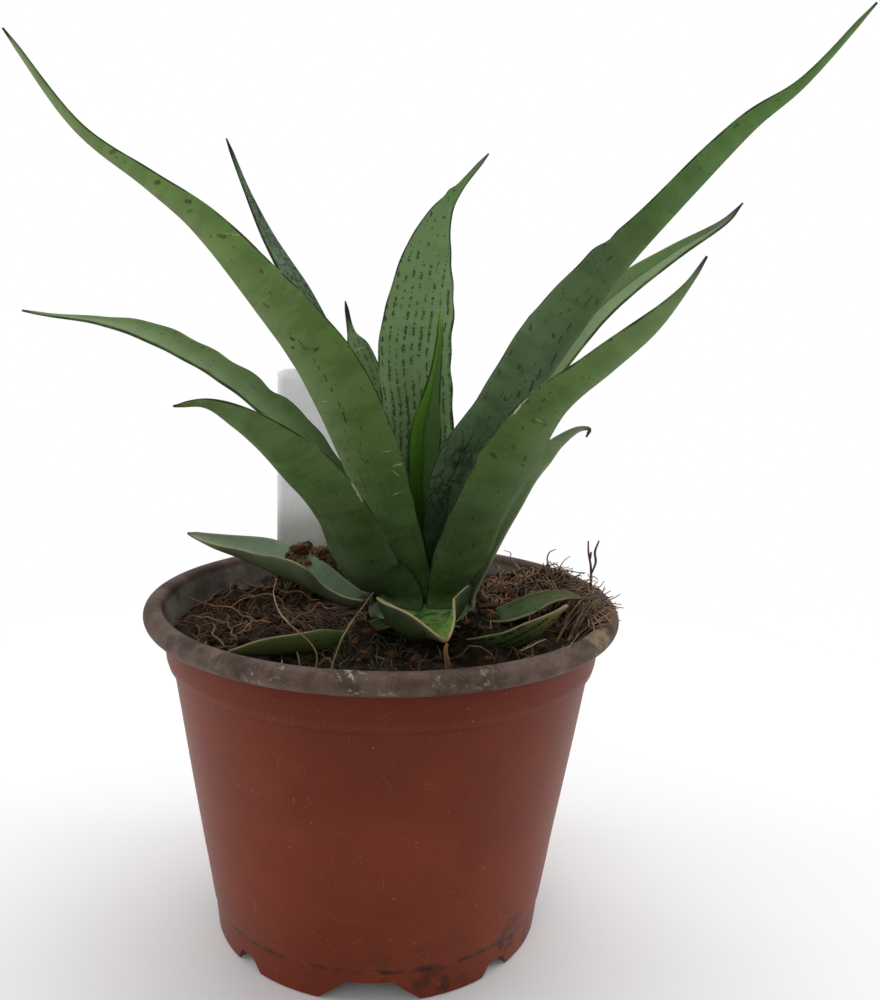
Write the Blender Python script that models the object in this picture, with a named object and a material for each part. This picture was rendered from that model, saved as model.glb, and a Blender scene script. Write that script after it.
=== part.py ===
"""A young patterned snake plant in a round nursery pot.

Metres, +Z up. The origin is on the pot's axis, on the surface that its feet rest on, and -Y is
the front. The pot is a thin shell on a notched foot ring, filled with soil. The leaves stand in
a rosette on a stepped crown, which is set in the soil, with a bare plant label behind them.
"""

import math

import bmesh
import bpy
from mathutils import Matrix, Vector

# Pot
RIM_RADIUS = 0.0600
POT_HEIGHT = 0.0865
LIP_HEIGHT = 0.0052
LIP_INNER_RADIUS = 0.0553
COLLAR_RADIUS = 0.0548
COLLAR_BOTTOM = 0.0736
BODY_TOP_RADIUS = 0.0531
BODY_TOP = 0.0712
BODY_BOTTOM_RADIUS = 0.0437
FOOT_TOP = 0.0084
FOOT_TOP_RADIUS = 0.0433
FOOT_RADIUS = 0.0425
FOOT_WIDTH = 0.0040
LEDGE = 0.0009
WALL = 0.0013
FLOOR_UNDERSIDE = 0.0065
FLOOR_TOP = 0.0080
POT_STEPS = 64
WIDE_NOTCH = dict(bottom=0.0248, top=0.0108, height=0.0057)
NARROW_NOTCH = dict(bottom=0.0093, top=0.0046, height=0.0038)
FIRST_WIDE_NOTCH = -92
DRAIN_RADIUS = 0.0045
DRAIN_CIRCLE = 0.0280

# Soil
CLEARANCE = 0.0003
SOIL_LEVEL = 0.0788
SOIL_STEPS = 56
SOIL_RINGS = 13
MOUND_PLACE = (0.0450, 0.0170)
MOUND_SPREAD = 0.0120
MOUND_HEIGHT = 0.0085

# Crown, as steps of radius and height, with the innermost leaves on the highest step
CROWN_PLACE = (0.0100, 0.0020)
CROWN_BOTTOM = 0.0700
CROWN_STEPS = ((0.0092, 0.0860), (0.0116, 0.0845), (0.0145, 0.0825))
CROWN_CHAMFER = 0.0020
CROWN_SIDES = 40

# Leaves
BLADE_STATIONS = 18
BLADE_POINTS = 5
MARGIN_THICKNESS = 0.0008
TIP_HALF_WIDTH = 0.0005
ROUTE_SAMPLES = 200
TIP_CROWDING = 0.12
STRAIGHT_BASE = 0.0036
LEAF_COLOURS = {
    "leaf_green": (0.10, 0.19, 0.06),
    "leaf_blue_green": (0.07, 0.14, 0.07),
    "leaf_grey_green": (0.16, 0.24, 0.12),
    "leaf_young": (0.07, 0.24, 0.02),
}
LEAF_ROUGHNESS = 0.45
UPWARD = (0.0, 0.0, 1.0)

# Label
LABEL_PLACE = (-0.0205, 0.0315)
LABEL_TURN = 4
LABEL_WIDTH = 0.0210
LABEL_TOP = 0.1420
LABEL_SHOULDER = 0.0740
LABEL_POINT = 0.0600
LABEL_THICKNESS = 0.0008


def clear_scene():
    for obj in list(bpy.data.objects):
        bpy.data.objects.remove(obj, do_unlink=True)


def material(name, colour, roughness, metallic=0.0):
    """A Principled material, made once and shared by the pieces that name it."""
    made = bpy.data.materials.get(name)
    if made:
        return made
    made = bpy.data.materials.new(name)
    made.use_nodes = True
    shader = made.node_tree.nodes["Principled BSDF"]
    shader.inputs["Base Color"].default_value = (*colour, 1.0)
    shader.inputs["Roughness"].default_value = roughness
    shader.inputs["Metallic"].default_value = metallic
    made.diffuse_color = (*colour, 1.0)
    return made


def object_from(bm, name, slot=None, smooth_angle=None):
    """The bmesh as a linked object with faces out."""
    bmesh.ops.recalc_face_normals(bm, faces=bm.faces)
    mesh = bpy.data.meshes.new(name)
    bm.to_mesh(mesh)
    bm.free()
    if slot:
        mesh.materials.append(slot)
    if smooth_angle is not None:
        mesh.shade_smooth()
        mesh.set_sharp_from_angle(angle=math.radians(smooth_angle))
    obj = bpy.data.objects.new(name, mesh)
    bpy.context.scene.collection.objects.link(obj)
    return obj


def turned(profile, steps):
    """A closed solid turned round Z from (radius, height) points that start and end on the axis."""
    bm = bmesh.new()
    points = [bm.verts.new((radius, 0.0, height)) for radius, height in profile]
    edges = [bm.edges.new(pair) for pair in zip(points, points[1:])]
    bmesh.ops.spin(
        bm,
        geom=points + edges,
        axis=(0.0, 0.0, 1.0),
        cent=(0.0, 0.0, 0.0),
        angle=2 * math.pi,
        steps=steps,
    )
    bmesh.ops.remove_doubles(bm, verts=bm.verts, dist=0.00001)
    return bm


def extruded(bm, face, run):
    """Extrudes a face along a vector and returns all the points of the prism."""
    points = list(face.verts)
    made = bmesh.ops.extrude_face_region(bm, geom=[face])["geom"]
    moved = [item for item in made if isinstance(item, bmesh.types.BMVert)]
    bmesh.ops.translate(bm, verts=moved, vec=run)
    return points + moved


def cutter(bm, name):
    obj = object_from(bm, name)
    obj.hide_render = True
    obj.display_type = "WIRE"
    return obj


def cut(obj, tool):
    modifier = obj.modifiers.new(tool.name, "BOOLEAN")
    modifier.operation = "DIFFERENCE"
    modifier.solver = "EXACT"
    modifier.object = tool


def arc(centre, radius, start, end, count):
    """Points of a circle in the profile plane, from one angle to another in degrees."""
    points = []
    for i in range(count):
        angle = math.radians(start + (end - start) * i / (count - 1))
        points.append((centre[0] + radius * math.cos(angle), centre[1] + radius * math.sin(angle)))
    return points


def around_crown(reach, azimuth):
    angle = math.radians(azimuth)
    return CROWN_PLACE[0] + reach * math.cos(angle), CROWN_PLACE[1] + reach * math.sin(angle)


def pot_profile():
    """Foot ring and outer skin upward, over the rolled lip, then down the inside to the floor."""
    roll = LIP_HEIGHT / 2
    lip_bottom = POT_HEIGHT - LIP_HEIGHT
    foot_inside = FOOT_RADIUS - FOOT_WIDTH
    foot_and_body = [
        (0.0, FLOOR_UNDERSIDE),
        (foot_inside - LEDGE, FLOOR_UNDERSIDE),
        (foot_inside, 0.0),
        (FOOT_RADIUS, 0.0),
        (FOOT_TOP_RADIUS, FOOT_TOP),
        (BODY_BOTTOM_RADIUS, FOOT_TOP + LEDGE),
        (BODY_TOP_RADIUS, BODY_TOP),
    ]
    step = COLLAR_RADIUS - BODY_TOP_RADIUS
    rise = COLLAR_BOTTOM - BODY_TOP
    collar = [
        (BODY_TOP_RADIUS + 0.65 * step, BODY_TOP + 0.4 * rise),
        (COLLAR_RADIUS, COLLAR_BOTTOM),
        (COLLAR_RADIUS, lip_bottom),
    ]
    lip_outside = arc((RIM_RADIUS - roll, lip_bottom + roll), roll, -90, 90, 7)
    inner_roll = 0.6 * roll
    lip_inside = arc((LIP_INNER_RADIUS + inner_roll, POT_HEIGHT - inner_roll), inner_roll, 90, 180, 4)
    inside = [
        (COLLAR_RADIUS - WALL, lip_bottom),
        (COLLAR_RADIUS - WALL, COLLAR_BOTTOM),
        (BODY_TOP_RADIUS - WALL, BODY_TOP),
        (BODY_BOTTOM_RADIUS - WALL, FLOOR_TOP),
        (0.0, FLOOR_TOP),
    ]
    return foot_and_body + collar + lip_outside + lip_inside + inside


def notch(bm, azimuth, bottom, top, height):
    """A radial prism with sloping sides that opens the foot ring below the given height."""
    below = 0.0020
    low = bottom / 2 + below * (bottom - top) / (2 * height)
    near = FOOT_RADIUS - 2.5 * FOOT_WIDTH
    section = ((-low, -below), (low, -below), (top / 2, height), (-top / 2, height))
    face = bm.faces.new([bm.verts.new((near, y, z)) for y, z in section])
    points = extruded(bm, face, (3.5 * FOOT_WIDTH, 0.0, 0.0))
    turn = Matrix.Rotation(math.radians(azimuth), 3, "Z")
    bmesh.ops.rotate(bm, verts=points, matrix=turn, cent=(0.0, 0.0, 0.0))


def drain_hole(bm, azimuth):
    angle = math.radians(azimuth)
    place = (DRAIN_CIRCLE * math.cos(angle), DRAIN_CIRCLE * math.sin(angle), FLOOR_TOP)
    bmesh.ops.create_cone(
        bm,
        cap_ends=True,
        segments=16,
        radius1=DRAIN_RADIUS,
        radius2=DRAIN_RADIUS,
        depth=4 * WALL,
        matrix=Matrix.Translation(place),
    )


def make_pot():
    shade = material("pot_terracotta", (0.13, 0.045, 0.028), 0.42)
    pot = object_from(turned(pot_profile(), POT_STEPS), "pot", shade, smooth_angle=35)
    bm = bmesh.new()
    for quarter in range(4):
        azimuth = FIRST_WIDE_NOTCH + 90 * quarter
        notch(bm, azimuth, **WIDE_NOTCH)
        notch(bm, azimuth + 45, **NARROW_NOTCH)
        drain_hole(bm, azimuth)
    cut(pot, cutter(bm, "pot_cutter"))


def soil_height(x, y):
    """Level soil, lower at the front left, with a mound at the right and a few soft ripples."""
    away = ((x - MOUND_PLACE[0]) ** 2 + (y - MOUND_PLACE[1]) ** 2) / (2 * MOUND_SPREAD**2)
    mound = MOUND_HEIGHT * math.exp(-away)
    ripple = 0.0006 * math.sin(210 * x + 1.0) * math.cos(170 * y) + 0.0004 * math.sin(420 * y + 260 * x)
    slope = 0.018 * x + 0.008 * y
    return SOIL_LEVEL + mound + ripple + slope


def make_soil():
    """Fills the pot to just below the lip, with plain holes for the crown and the label."""
    edge = COLLAR_RADIUS - WALL - CLEARANCE
    outside = [
        (0.0, FLOOR_TOP + CLEARANCE),
        (BODY_BOTTOM_RADIUS - WALL - CLEARANCE, FLOOR_TOP + CLEARANCE),
        (BODY_TOP_RADIUS - WALL - CLEARANCE, BODY_TOP),
        (edge, COLLAR_BOTTOM + CLEARANCE),
    ]
    top = [(edge * (1 - i / SOIL_RINGS), SOIL_LEVEL) for i in range(SOIL_RINGS + 1)]
    bm = turned(outside + top, SOIL_STEPS)
    for vert in bm.verts:
        if vert.co.z > COLLAR_BOTTOM + 2 * CLEARANCE:
            vert.co.z = soil_height(vert.co.x, vert.co.y)
    bmesh.ops.triangulate(bm, faces=bm.faces)
    soil = object_from(bm, "soil", material("potting_soil", (0.045, 0.026, 0.016), 0.95))
    cut(soil, crown_hole())
    cut(soil, cutter(label_plate(CLEARANCE), "label_slot"))


def crown_hole():
    bm = bmesh.new()
    radius = CROWN_STEPS[-1][0] + CLEARANCE
    bottom = CROWN_BOTTOM - CLEARANCE
    depth = 0.0300
    bmesh.ops.create_cone(
        bm,
        cap_ends=True,
        segments=CROWN_SIDES,
        radius1=radius,
        radius2=radius,
        depth=depth,
        matrix=Matrix.Translation((*CROWN_PLACE, bottom + depth / 2)),
    )
    return cutter(bm, "crown_hole")


def make_crown():
    """The short stem: a stub in the soil with a stepped top that the leaf bases stand on."""
    widest = CROWN_STEPS[-1][0]
    profile = [
        (0.0, CROWN_BOTTOM),
        (widest - CROWN_CHAMFER, CROWN_BOTTOM),
        (widest, CROWN_BOTTOM + CROWN_CHAMFER),
    ]
    steps = CROWN_STEPS[::-1]
    inner_radii = [radius for radius, _ in steps[1:]] + [0.0]
    for (radius, height), inner in zip(steps, inner_radii):
        profile += [(radius, height), (inner, height)]
    stem = material("crown_stem", (0.16, 0.12, 0.05), 0.7)
    crown = object_from(turned(profile, CROWN_SIDES), "crown", stem, smooth_angle=30)
    crown.location = (*CROWN_PLACE, 0.0)


def label_plate(grow=0.0):
    """An upright plate with square shoulders above the soil and a point below it."""
    half = LABEL_WIDTH / 2 + grow
    thickness = LABEL_THICKNESS + 2 * grow
    outline = (
        (-half, LABEL_TOP),
        (-half, LABEL_SHOULDER),
        (0.0, LABEL_POINT - 2 * grow),
        (half, LABEL_SHOULDER),
        (half, LABEL_TOP),
    )
    bm = bmesh.new()
    face = bm.faces.new([bm.verts.new((x, -thickness / 2, z)) for x, z in outline])
    extruded(bm, face, (0.0, thickness, 0.0))
    turn = Matrix.Rotation(math.radians(LABEL_TURN), 3, "Z")
    bmesh.ops.rotate(bm, verts=bm.verts, matrix=turn, cent=(0.0, 0.0, 0.0))
    bmesh.ops.translate(bm, verts=bm.verts, vec=(*LABEL_PLACE, 0.0))
    return bm


def make_label():
    object_from(label_plate(), "plant_label", material("label_white", (0.80, 0.80, 0.76), 0.4))


def route_point(route, at):
    """A point of the smooth curve through a leaf's route, at a fraction of its run."""
    steps = [(b - a).length ** 0.5 for a, b in zip(route, route[1:])]
    knots = [0.0]
    for step in steps:
        knots.append(knots[-1] + step)
    where = at * knots[-1]
    span = max(i for i in range(len(steps)) if where >= knots[i] - 1e-9)
    before = route[span - 1] if span else route[0] * 2 - route[1]
    after = route[span + 2] if span + 2 < len(route) else route[-1] * 2 - route[-2]
    quad = (before, route[span], route[span + 1], after)
    first = knots[span] - (steps[span - 1] if span else steps[0])
    last = knots[span + 1] + (steps[span + 1] if span + 1 < len(steps) else steps[-1])
    t = (first, knots[span], knots[span + 1], last)
    low = [quad[i].lerp(quad[i + 1], (where - t[i]) / (t[i + 1] - t[i])) for i in range(3)]
    mid = [low[i].lerp(low[i + 1], (where - t[i]) / (t[i + 2] - t[i])) for i in range(2)]
    return mid[0].lerp(mid[1], (where - t[1]) / (t[2] - t[1]))


def stations_of(route, count):
    """(place, half width, fraction of the length) at stations that lie closer towards the tip."""
    fine = [route_point(route, i / ROUTE_SAMPLES) for i in range(ROUTE_SAMPLES + 1)]
    length = [0.0]
    for a, b in zip(fine, fine[1:]):
        length.append(length[-1] + (b.xyz - a.xyz).length)
    found = []
    for i in range(count):
        share = i / (count - 1)
        where = length[-1] * (share + TIP_CROWDING * share * (1 - share))
        step = max(j for j in range(ROUTE_SAMPLES) if where >= length[j] - 1e-9)
        spot = fine[step].lerp(fine[step + 1], (where - length[step]) / (length[step + 1] - length[step]))
        found.append((spot.xyz, max(spot.w, TIP_HALF_WIDTH), where / length[-1]))
    return found


def leaf(name, shade, route, looks, cups, thickness=0.0020, wave=0.0, waves=3, count=BLADE_STATIONS):
    """A channelled blade along a route of (x, y, z, half width) points.

    looks are the directions that its inner face looks in, at the base, the middle and the tip.
    cups are how far each margin turns up, in degrees, at the same three places. wave is how far
    the margins sway, waves times along the blade.
    """
    route = [Vector(point) for point in route]
    stations = stations_of(route, count)
    widest = max(half for _, half, _ in stations)
    bm = bmesh.new()
    rings = []
    for index, (spot, half, at) in enumerate(stations):
        ahead = stations[min(index + 1, count - 1)][0] if index else route[1].xyz
        behind = stations[max(index - 1, 0)][0]
        along = (ahead - behind).normalized()
        first, part = (0, at * 2) if at < 0.5 else (1, at * 2 - 1)
        look = Vector(looks[first]).lerp(Vector(looks[first + 1]), part)
        inward = (look - along * look.dot(along)).normalized()
        side = along.cross(inward)
        turn = math.radians(cups[first] + (cups[first + 1] - cups[first]) * part)
        body = thickness * (1 - 0.45 * at) * min(1.0, 2.2 * half / widest)
        sway = wave * math.sin(2 * math.pi * waves * at) * math.sin(math.pi * at)
        reach = half / turn
        inner = []
        outer = []
        for step in range(BLADE_POINTS):
            across = 2 * step / (BLADE_POINTS - 1) - 1
            bend = turn * across
            lift = reach * (1 - math.cos(bend)) + sway * across**3
            place = spot + side * (reach * math.sin(bend)) + inward * lift
            normal = inward * math.cos(bend) - side * math.sin(bend)
            thick = MARGIN_THICKNESS + max(body - MARGIN_THICKNESS, 0.0) * (1 - across * across)
            inner.append(bm.verts.new(place + normal * thick / 2))
            outer.append(bm.verts.new(place - normal * thick / 2))
        rings.append((inner, outer))
    # Both faces are split along the same diagonals, so a thin twisted blade never crosses itself.
    for (inner_a, outer_a), (inner_b, outer_b) in zip(rings, rings[1:]):
        for row_a, row_b in ((inner_a, inner_b), (outer_a, outer_b)):
            for i in range(BLADE_POINTS - 1):
                bm.faces.new((row_a[i], row_a[i + 1], row_b[i + 1]))
                bm.faces.new((row_a[i], row_b[i + 1], row_b[i]))
        for i in (0, -1):
            bm.faces.new((inner_a[i], outer_a[i], outer_b[i]))
            bm.faces.new((inner_a[i], outer_b[i], inner_b[i]))
    for inner, outer in (rings[0], rings[-1]):
        for i in range(BLADE_POINTS - 1):
            bm.faces.new((inner[i], inner[i + 1], outer[i + 1], outer[i]))
    object_from(bm, name, material(shade, LEAF_COLOURS[shade], LEAF_ROUGHNESS), smooth_angle=50)


def on_step(ring, azimuth, height, half):
    """A route's first two points: standing straight up on a step of the crown."""
    x, y = around_crown(ring, azimuth)
    return [(x, y, height + CLEARANCE, half), (x, y, height + STRAIGHT_BASE, half)]


def on_side(azimuth, height, half):
    """A route's first two points: leaving the crown's side, straight outward."""
    radius = CROWN_STEPS[-1][0]
    near = around_crown(radius + CLEARANCE, azimuth)
    far = around_crown(radius + STRAIGHT_BASE, azimuth)
    return [(*near, height, half), (*far, height, half)]


def to_axis(azimuth):
    angle = math.radians(azimuth)
    return (-math.cos(angle), -math.sin(angle), 0.0)


def wrap(half, ring):
    """Turn of each margin, in degrees, that lays a leaf base round the crown's axis."""
    return math.degrees(half / ring)


def make_inner_leaves():
    top = CROWN_STEPS[0][1]

    route = on_step(0.0022, 90, top, 0.0042) + [
        (0.0095, 0.0050, 0.1050, 0.0049),
        (0.0088, 0.0045, 0.1200, 0.0050),
        (0.0090, 0.0040, 0.1290, 0.0047),
        (0.0102, 0.0035, 0.1365, 0.0029),
        (0.0113, 0.0030, 0.1430, 0.0017),
        (0.0121, 0.0025, 0.1510, 0.0009),
        (0.0124, 0.0020, 0.1585, 0.0005),
    ]
    looks = (to_axis(90), (0.25, -1.0, 0.0), (0.25, -1.0, 0.0))
    leaf("leaf_spear", "leaf_young", route, looks, (wrap(0.0042, 0.0027), 55, 35), thickness=0.0014)

    route = on_step(0.0052, -30, top, 0.0072) + [
        (0.0175, -0.0038, 0.1040, 0.0096),
        (0.0210, -0.0075, 0.1215, 0.0104),
        (0.0285, -0.0105, 0.1340, 0.0097),
        (0.0382, -0.0135, 0.1530, 0.0080),
        (0.0488, -0.0165, 0.1685, 0.0062),
        (0.0585, -0.0195, 0.1800, 0.0044),
        (0.0770, -0.0250, 0.2010, 0.0027),
        (0.0868, -0.0270, 0.2090, 0.0015),
        (0.1000, -0.0300, 0.2250, 0.0005),
    ]
    looks = (to_axis(-30), (-0.35, 0.9, 0.3), (-0.4, 0.75, 0.5))
    leaf("leaf_right_long", "leaf_blue_green", route, looks, (wrap(0.0072, 0.0055), 34, 24), wave=0.0005)

    route = on_step(0.0078, 226, top, 0.0082) + [
        (0.0006, -0.0055, 0.0990, 0.0100),
        (-0.0060, -0.0084, 0.1215, 0.0100),
        (-0.0165, -0.0105, 0.1450, 0.0093),
        (-0.0330, -0.0125, 0.1660, 0.0056),
        (-0.0440, -0.0135, 0.1775, 0.0040),
        (-0.0550, -0.0140, 0.1855, 0.0028),
        (-0.0700, -0.0135, 0.1960, 0.0015),
        (-0.0860, -0.0120, 0.2165, 0.0005),
    ]
    looks = (to_axis(226), (0.35, 0.9, 0.3), (0.4, 0.75, 0.5))
    leaf("leaf_left_long", "leaf_green", route, looks, (wrap(0.0082, 0.0078), 34, 24), wave=0.0005)

    route = on_step(0.0078, 90, top, 0.0088) + [
        (0.0085, 0.0120, 0.1080, 0.0092),
        (0.0078, 0.0150, 0.1300, 0.0100),
        (0.0065, 0.0190, 0.1470, 0.0101),
        (0.0078, 0.0255, 0.1615, 0.0088),
        (0.0090, 0.0315, 0.1740, 0.0066),
        (0.0120, 0.0365, 0.1850, 0.0039),
        (0.0175, 0.0395, 0.1920, 0.0014),
        (0.0265, 0.0440, 0.2030, 0.0005),
    ]
    looks = (to_axis(90), (0.0, -1.0, 0.35), (0.1, -0.9, 0.4))
    cups = (wrap(0.0088, 0.0078), 30, 26)
    leaf("leaf_back_broad", "leaf_grey_green", route, looks, cups, wave=0.0012, waves=4)


def make_middle_leaves():
    step = CROWN_STEPS[1][1]

    route = on_step(0.0104, -52, step, 0.0064) + [
        (0.0195, -0.0110, 0.0955, 0.0094),
        (0.0225, -0.0155, 0.1070, 0.0099),
        (0.0275, -0.0215, 0.1205, 0.0094),
        (0.0350, -0.0290, 0.1370, 0.0077),
        (0.0455, -0.0370, 0.1485, 0.0047),
        (0.0540, -0.0430, 0.1575, 0.0035),
        (0.0595, -0.0485, 0.1660, 0.0009),
        (0.0620, -0.0500, 0.1710, 0.0005),
    ]
    looks = (to_axis(-52), (-0.45, 0.8, 0.4), (-0.4, 0.75, 0.5))
    leaf("leaf_right_front", "leaf_green", route, looks, (wrap(0.0064, 0.0104), 32, 24), wave=0.0005)

    route = on_step(0.0104, 233, step, 0.0064) + [
        (-0.0045, -0.0115, 0.0945, 0.0098),
        (-0.0105, -0.0180, 0.1085, 0.0091),
        (-0.0170, -0.0230, 0.1190, 0.0081),
        (-0.0245, -0.0270, 0.1275, 0.0064),
        (-0.0325, -0.0300, 0.1340, 0.0038),
        (-0.0395, -0.0320, 0.1375, 0.0013),
        (-0.0460, -0.0340, 0.1370, 0.0005),
    ]
    looks = (to_axis(233), (0.4, 0.8, 0.45), (0.1, 0.8, 0.6))
    leaf("leaf_left_front", "leaf_green", route, looks, (wrap(0.0064, 0.0104), 32, 24), wave=0.0004)

    route = on_step(0.0104, 40, step, 0.0058) + [
        (0.0205, 0.0110, 0.1010, 0.0064),
        (0.0285, 0.0160, 0.1195, 0.0067),
        (0.0395, 0.0215, 0.1380, 0.0068),
        (0.0520, 0.0260, 0.1550, 0.0063),
        (0.0625, 0.0295, 0.1650, 0.0053),
        (0.0790, 0.0330, 0.1770, 0.0031),
        (0.0935, 0.0360, 0.1865, 0.0012),
        (0.0980, 0.0370, 0.1915, 0.0005),
    ]
    looks = (to_axis(40), (-0.5, -0.7, 0.55), (-0.4, -0.6, 0.7))
    leaf("leaf_right_back", "leaf_grey_green", route, looks, (wrap(0.0058, 0.0104), 44, 24))

    route = on_step(0.0104, 90, step, 0.0026) + [
        (0.0072, 0.0170, 0.0970, 0.0032),
        (0.0035, 0.0250, 0.1095, 0.0038),
        (-0.0010, 0.0340, 0.1250, 0.0042),
        (-0.0060, 0.0420, 0.1395, 0.0042),
        (-0.0095, 0.0460, 0.1480, 0.0033),
        (-0.0115, 0.0485, 0.1520, 0.0013),
        (-0.0135, 0.0520, 0.1610, 0.0005),
    ]
    looks = (to_axis(90), (0.2, -0.9, 0.4), (0.2, -0.9, 0.4))
    leaf("leaf_back_short", "leaf_grey_green", route, looks, (wrap(0.0026, 0.0104), 30, 24))

    route = on_step(0.0104, 138, step, 0.0038) + [
        (0.0015, 0.0130, 0.1005, 0.0044),
        (-0.0050, 0.0210, 0.1210, 0.0047),
        (-0.0137, 0.0260, 0.1395, 0.0044),
        (-0.0235, 0.0310, 0.1595, 0.0038),
        (-0.0345, 0.0375, 0.1775, 0.0021),
        (-0.0410, 0.0420, 0.1905, 0.0010),
        (-0.0470, 0.0460, 0.2045, 0.0005),
    ]
    looks = (to_axis(138), (0.55, -0.8, 0.2), (0.5, -0.8, 0.3))
    leaf("leaf_left_back", "leaf_grey_green", route, looks, (wrap(0.0038, 0.0104), 32, 24))


def make_outer_leaves():
    step = CROWN_STEPS[2][1]

    route = on_step(0.0131, 165, step, 0.0050) + [
        (-0.0065, 0.0085, 0.0980, 0.0058),
        (-0.0160, 0.0150, 0.1155, 0.0058),
        (-0.0285, 0.0205, 0.1290, 0.0050),
        (-0.0450, 0.0250, 0.1405, 0.0049),
        (-0.0650, 0.0285, 0.1500, 0.0042),
        (-0.0790, 0.0305, 0.1532, 0.0021),
        (-0.0930, 0.0320, 0.1545, 0.0008),
        (-0.1005, 0.0330, 0.1555, 0.0005),
    ]
    looks = (to_axis(165), (0.1, -0.6, 0.8), (0.05, -0.45, 0.9))
    leaf("leaf_left_arch", "leaf_grey_green", route, looks, (wrap(0.0050, 0.0131), 40, 24))

    route = on_step(0.0131, 2, step, 0.0036) + [
        (0.0262, 0.0024, 0.0960, 0.0050),
        (0.0304, 0.0046, 0.1060, 0.0053),
        (0.0362, 0.0068, 0.1168, 0.0046),
        (0.0404, 0.0088, 0.1213, 0.0037),
        (0.0447, 0.0105, 0.1255, 0.0023),
        (0.0505, 0.0118, 0.1293, 0.0010),
        (0.0533, 0.0120, 0.1293, 0.0006),
        (0.0525, 0.0120, 0.1272, 0.0005),
    ]
    looks = (to_axis(2), (-0.6, -0.6, 0.5), (-0.2, -0.5, 0.9))
    leaf(
        "leaf_right_small",
        "leaf_grey_green",
        route,
        looks,
        (wrap(0.0036, 0.0131), 34, 24),
        thickness=0.0016,
        count=22,
    )


def make_low_leaves():
    """Small leaves round the crown's side, channelled enough to show their outer face."""
    thickness = 0.0016
    cups = (60, 60, 40)

    route = on_side(-90, 0.0815, 0.0112) + [
        (0.0098, -0.0195, 0.0822, 0.0150),
        (0.0108, -0.0275, 0.0842, 0.0118),
        (0.0122, -0.0345, 0.0866, 0.0064),
        (0.0135, -0.0430, 0.0885, 0.0006),
    ]
    looks = (UPWARD, (-0.35, 0.2, 1.0), (-0.2, 0.1, 1.0))
    leaf("leaf_front_low", "leaf_young", route, looks, (72, 80, 55), thickness)

    route = on_side(165, 0.0812, 0.0050) + [
        (-0.0148, 0.0125, 0.0830, 0.0066),
        (-0.0215, 0.0165, 0.0858, 0.0080),
        (-0.0300, 0.0205, 0.0876, 0.0080),
        (-0.0395, 0.0240, 0.0898, 0.0066),
        (-0.0475, 0.0258, 0.0922, 0.0044),
        (-0.0555, 0.0270, 0.0956, 0.0008),
    ]
    looks = (UPWARD, (0.15, -0.02, 1.0), (0.1, -0.2, 1.0))
    leaf("leaf_left_rim", "leaf_grey_green", route, looks, (80, 88, 45), thickness)

    route = on_side(235, 0.0806, 0.0044) + [
        (-0.0085, -0.0225, 0.0806, 0.0050),
        (-0.0185, -0.0275, 0.0807, 0.0056),
        (-0.0275, -0.0300, 0.0806, 0.0050),
        (-0.0362, -0.0300, 0.0804, 0.0008),
    ]
    looks = (UPWARD, (0.1, 0.75, 0.7), (0.1, 0.5, 0.9))
    leaf("leaf_left_soil", "leaf_grey_green", route, looks, cups, thickness)

    route = on_side(-52, 0.0806, 0.0034) + [
        (0.0235, -0.0240, 0.0808, 0.0048),
        (0.0290, -0.0280, 0.0824, 0.0052),
        (0.0345, -0.0284, 0.0852, 0.0050),
        (0.0390, -0.0265, 0.0880, 0.0034),
        (0.0434, -0.0225, 0.0910, 0.0007),
    ]
    looks = (UPWARD, (-0.1, 0.7, 0.7), (-0.1, 0.7, 0.7))
    leaf("leaf_right_soil", "leaf_green", route, looks, (60, 34, 30), thickness)

    route = on_side(-24, 0.0816, 0.0034) + [
        (0.0285, -0.0090, 0.0824, 0.0042),
        (0.0335, -0.0070, 0.0839, 0.0043),
        (0.0400, -0.0045, 0.0862, 0.0040),
        (0.0459, -0.0050, 0.0880, 0.0026),
        (0.0503, -0.0065, 0.0882, 0.0006),
    ]
    looks = (UPWARD, (0.0, -0.2, 1.0), (0.0, -0.2, 1.0))
    leaf("leaf_right_low", "leaf_grey_green", route, looks, (60, 34, 30), thickness)


clear_scene()
make_pot()
make_soil()
make_crown()
make_label()
make_inner_leaves()
make_middle_leaves()
make_outer_leaves()
make_low_leaves()
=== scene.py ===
"""A young snake plant in its nursery pot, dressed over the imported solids.

Metres, +Z up, -Y towards the camera. Each section below makes one piece of the plant or one group
of like pieces, from the pot outward to the lowest leaves.
"""

import math
import random

import bmesh
import bpy
from mathutils import Matrix, Vector, noise


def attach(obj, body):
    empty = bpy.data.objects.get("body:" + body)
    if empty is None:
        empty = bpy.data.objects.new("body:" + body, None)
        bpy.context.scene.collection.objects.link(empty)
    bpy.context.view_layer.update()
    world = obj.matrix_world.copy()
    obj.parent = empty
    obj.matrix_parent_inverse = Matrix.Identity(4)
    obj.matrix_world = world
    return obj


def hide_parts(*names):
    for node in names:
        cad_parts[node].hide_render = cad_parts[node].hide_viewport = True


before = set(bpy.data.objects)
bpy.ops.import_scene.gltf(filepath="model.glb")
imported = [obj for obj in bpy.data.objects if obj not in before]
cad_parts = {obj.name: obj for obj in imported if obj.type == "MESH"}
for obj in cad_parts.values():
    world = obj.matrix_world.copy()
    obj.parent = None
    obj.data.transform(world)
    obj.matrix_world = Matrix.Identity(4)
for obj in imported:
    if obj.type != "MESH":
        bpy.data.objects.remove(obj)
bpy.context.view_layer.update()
scene = bpy.context.scene


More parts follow.
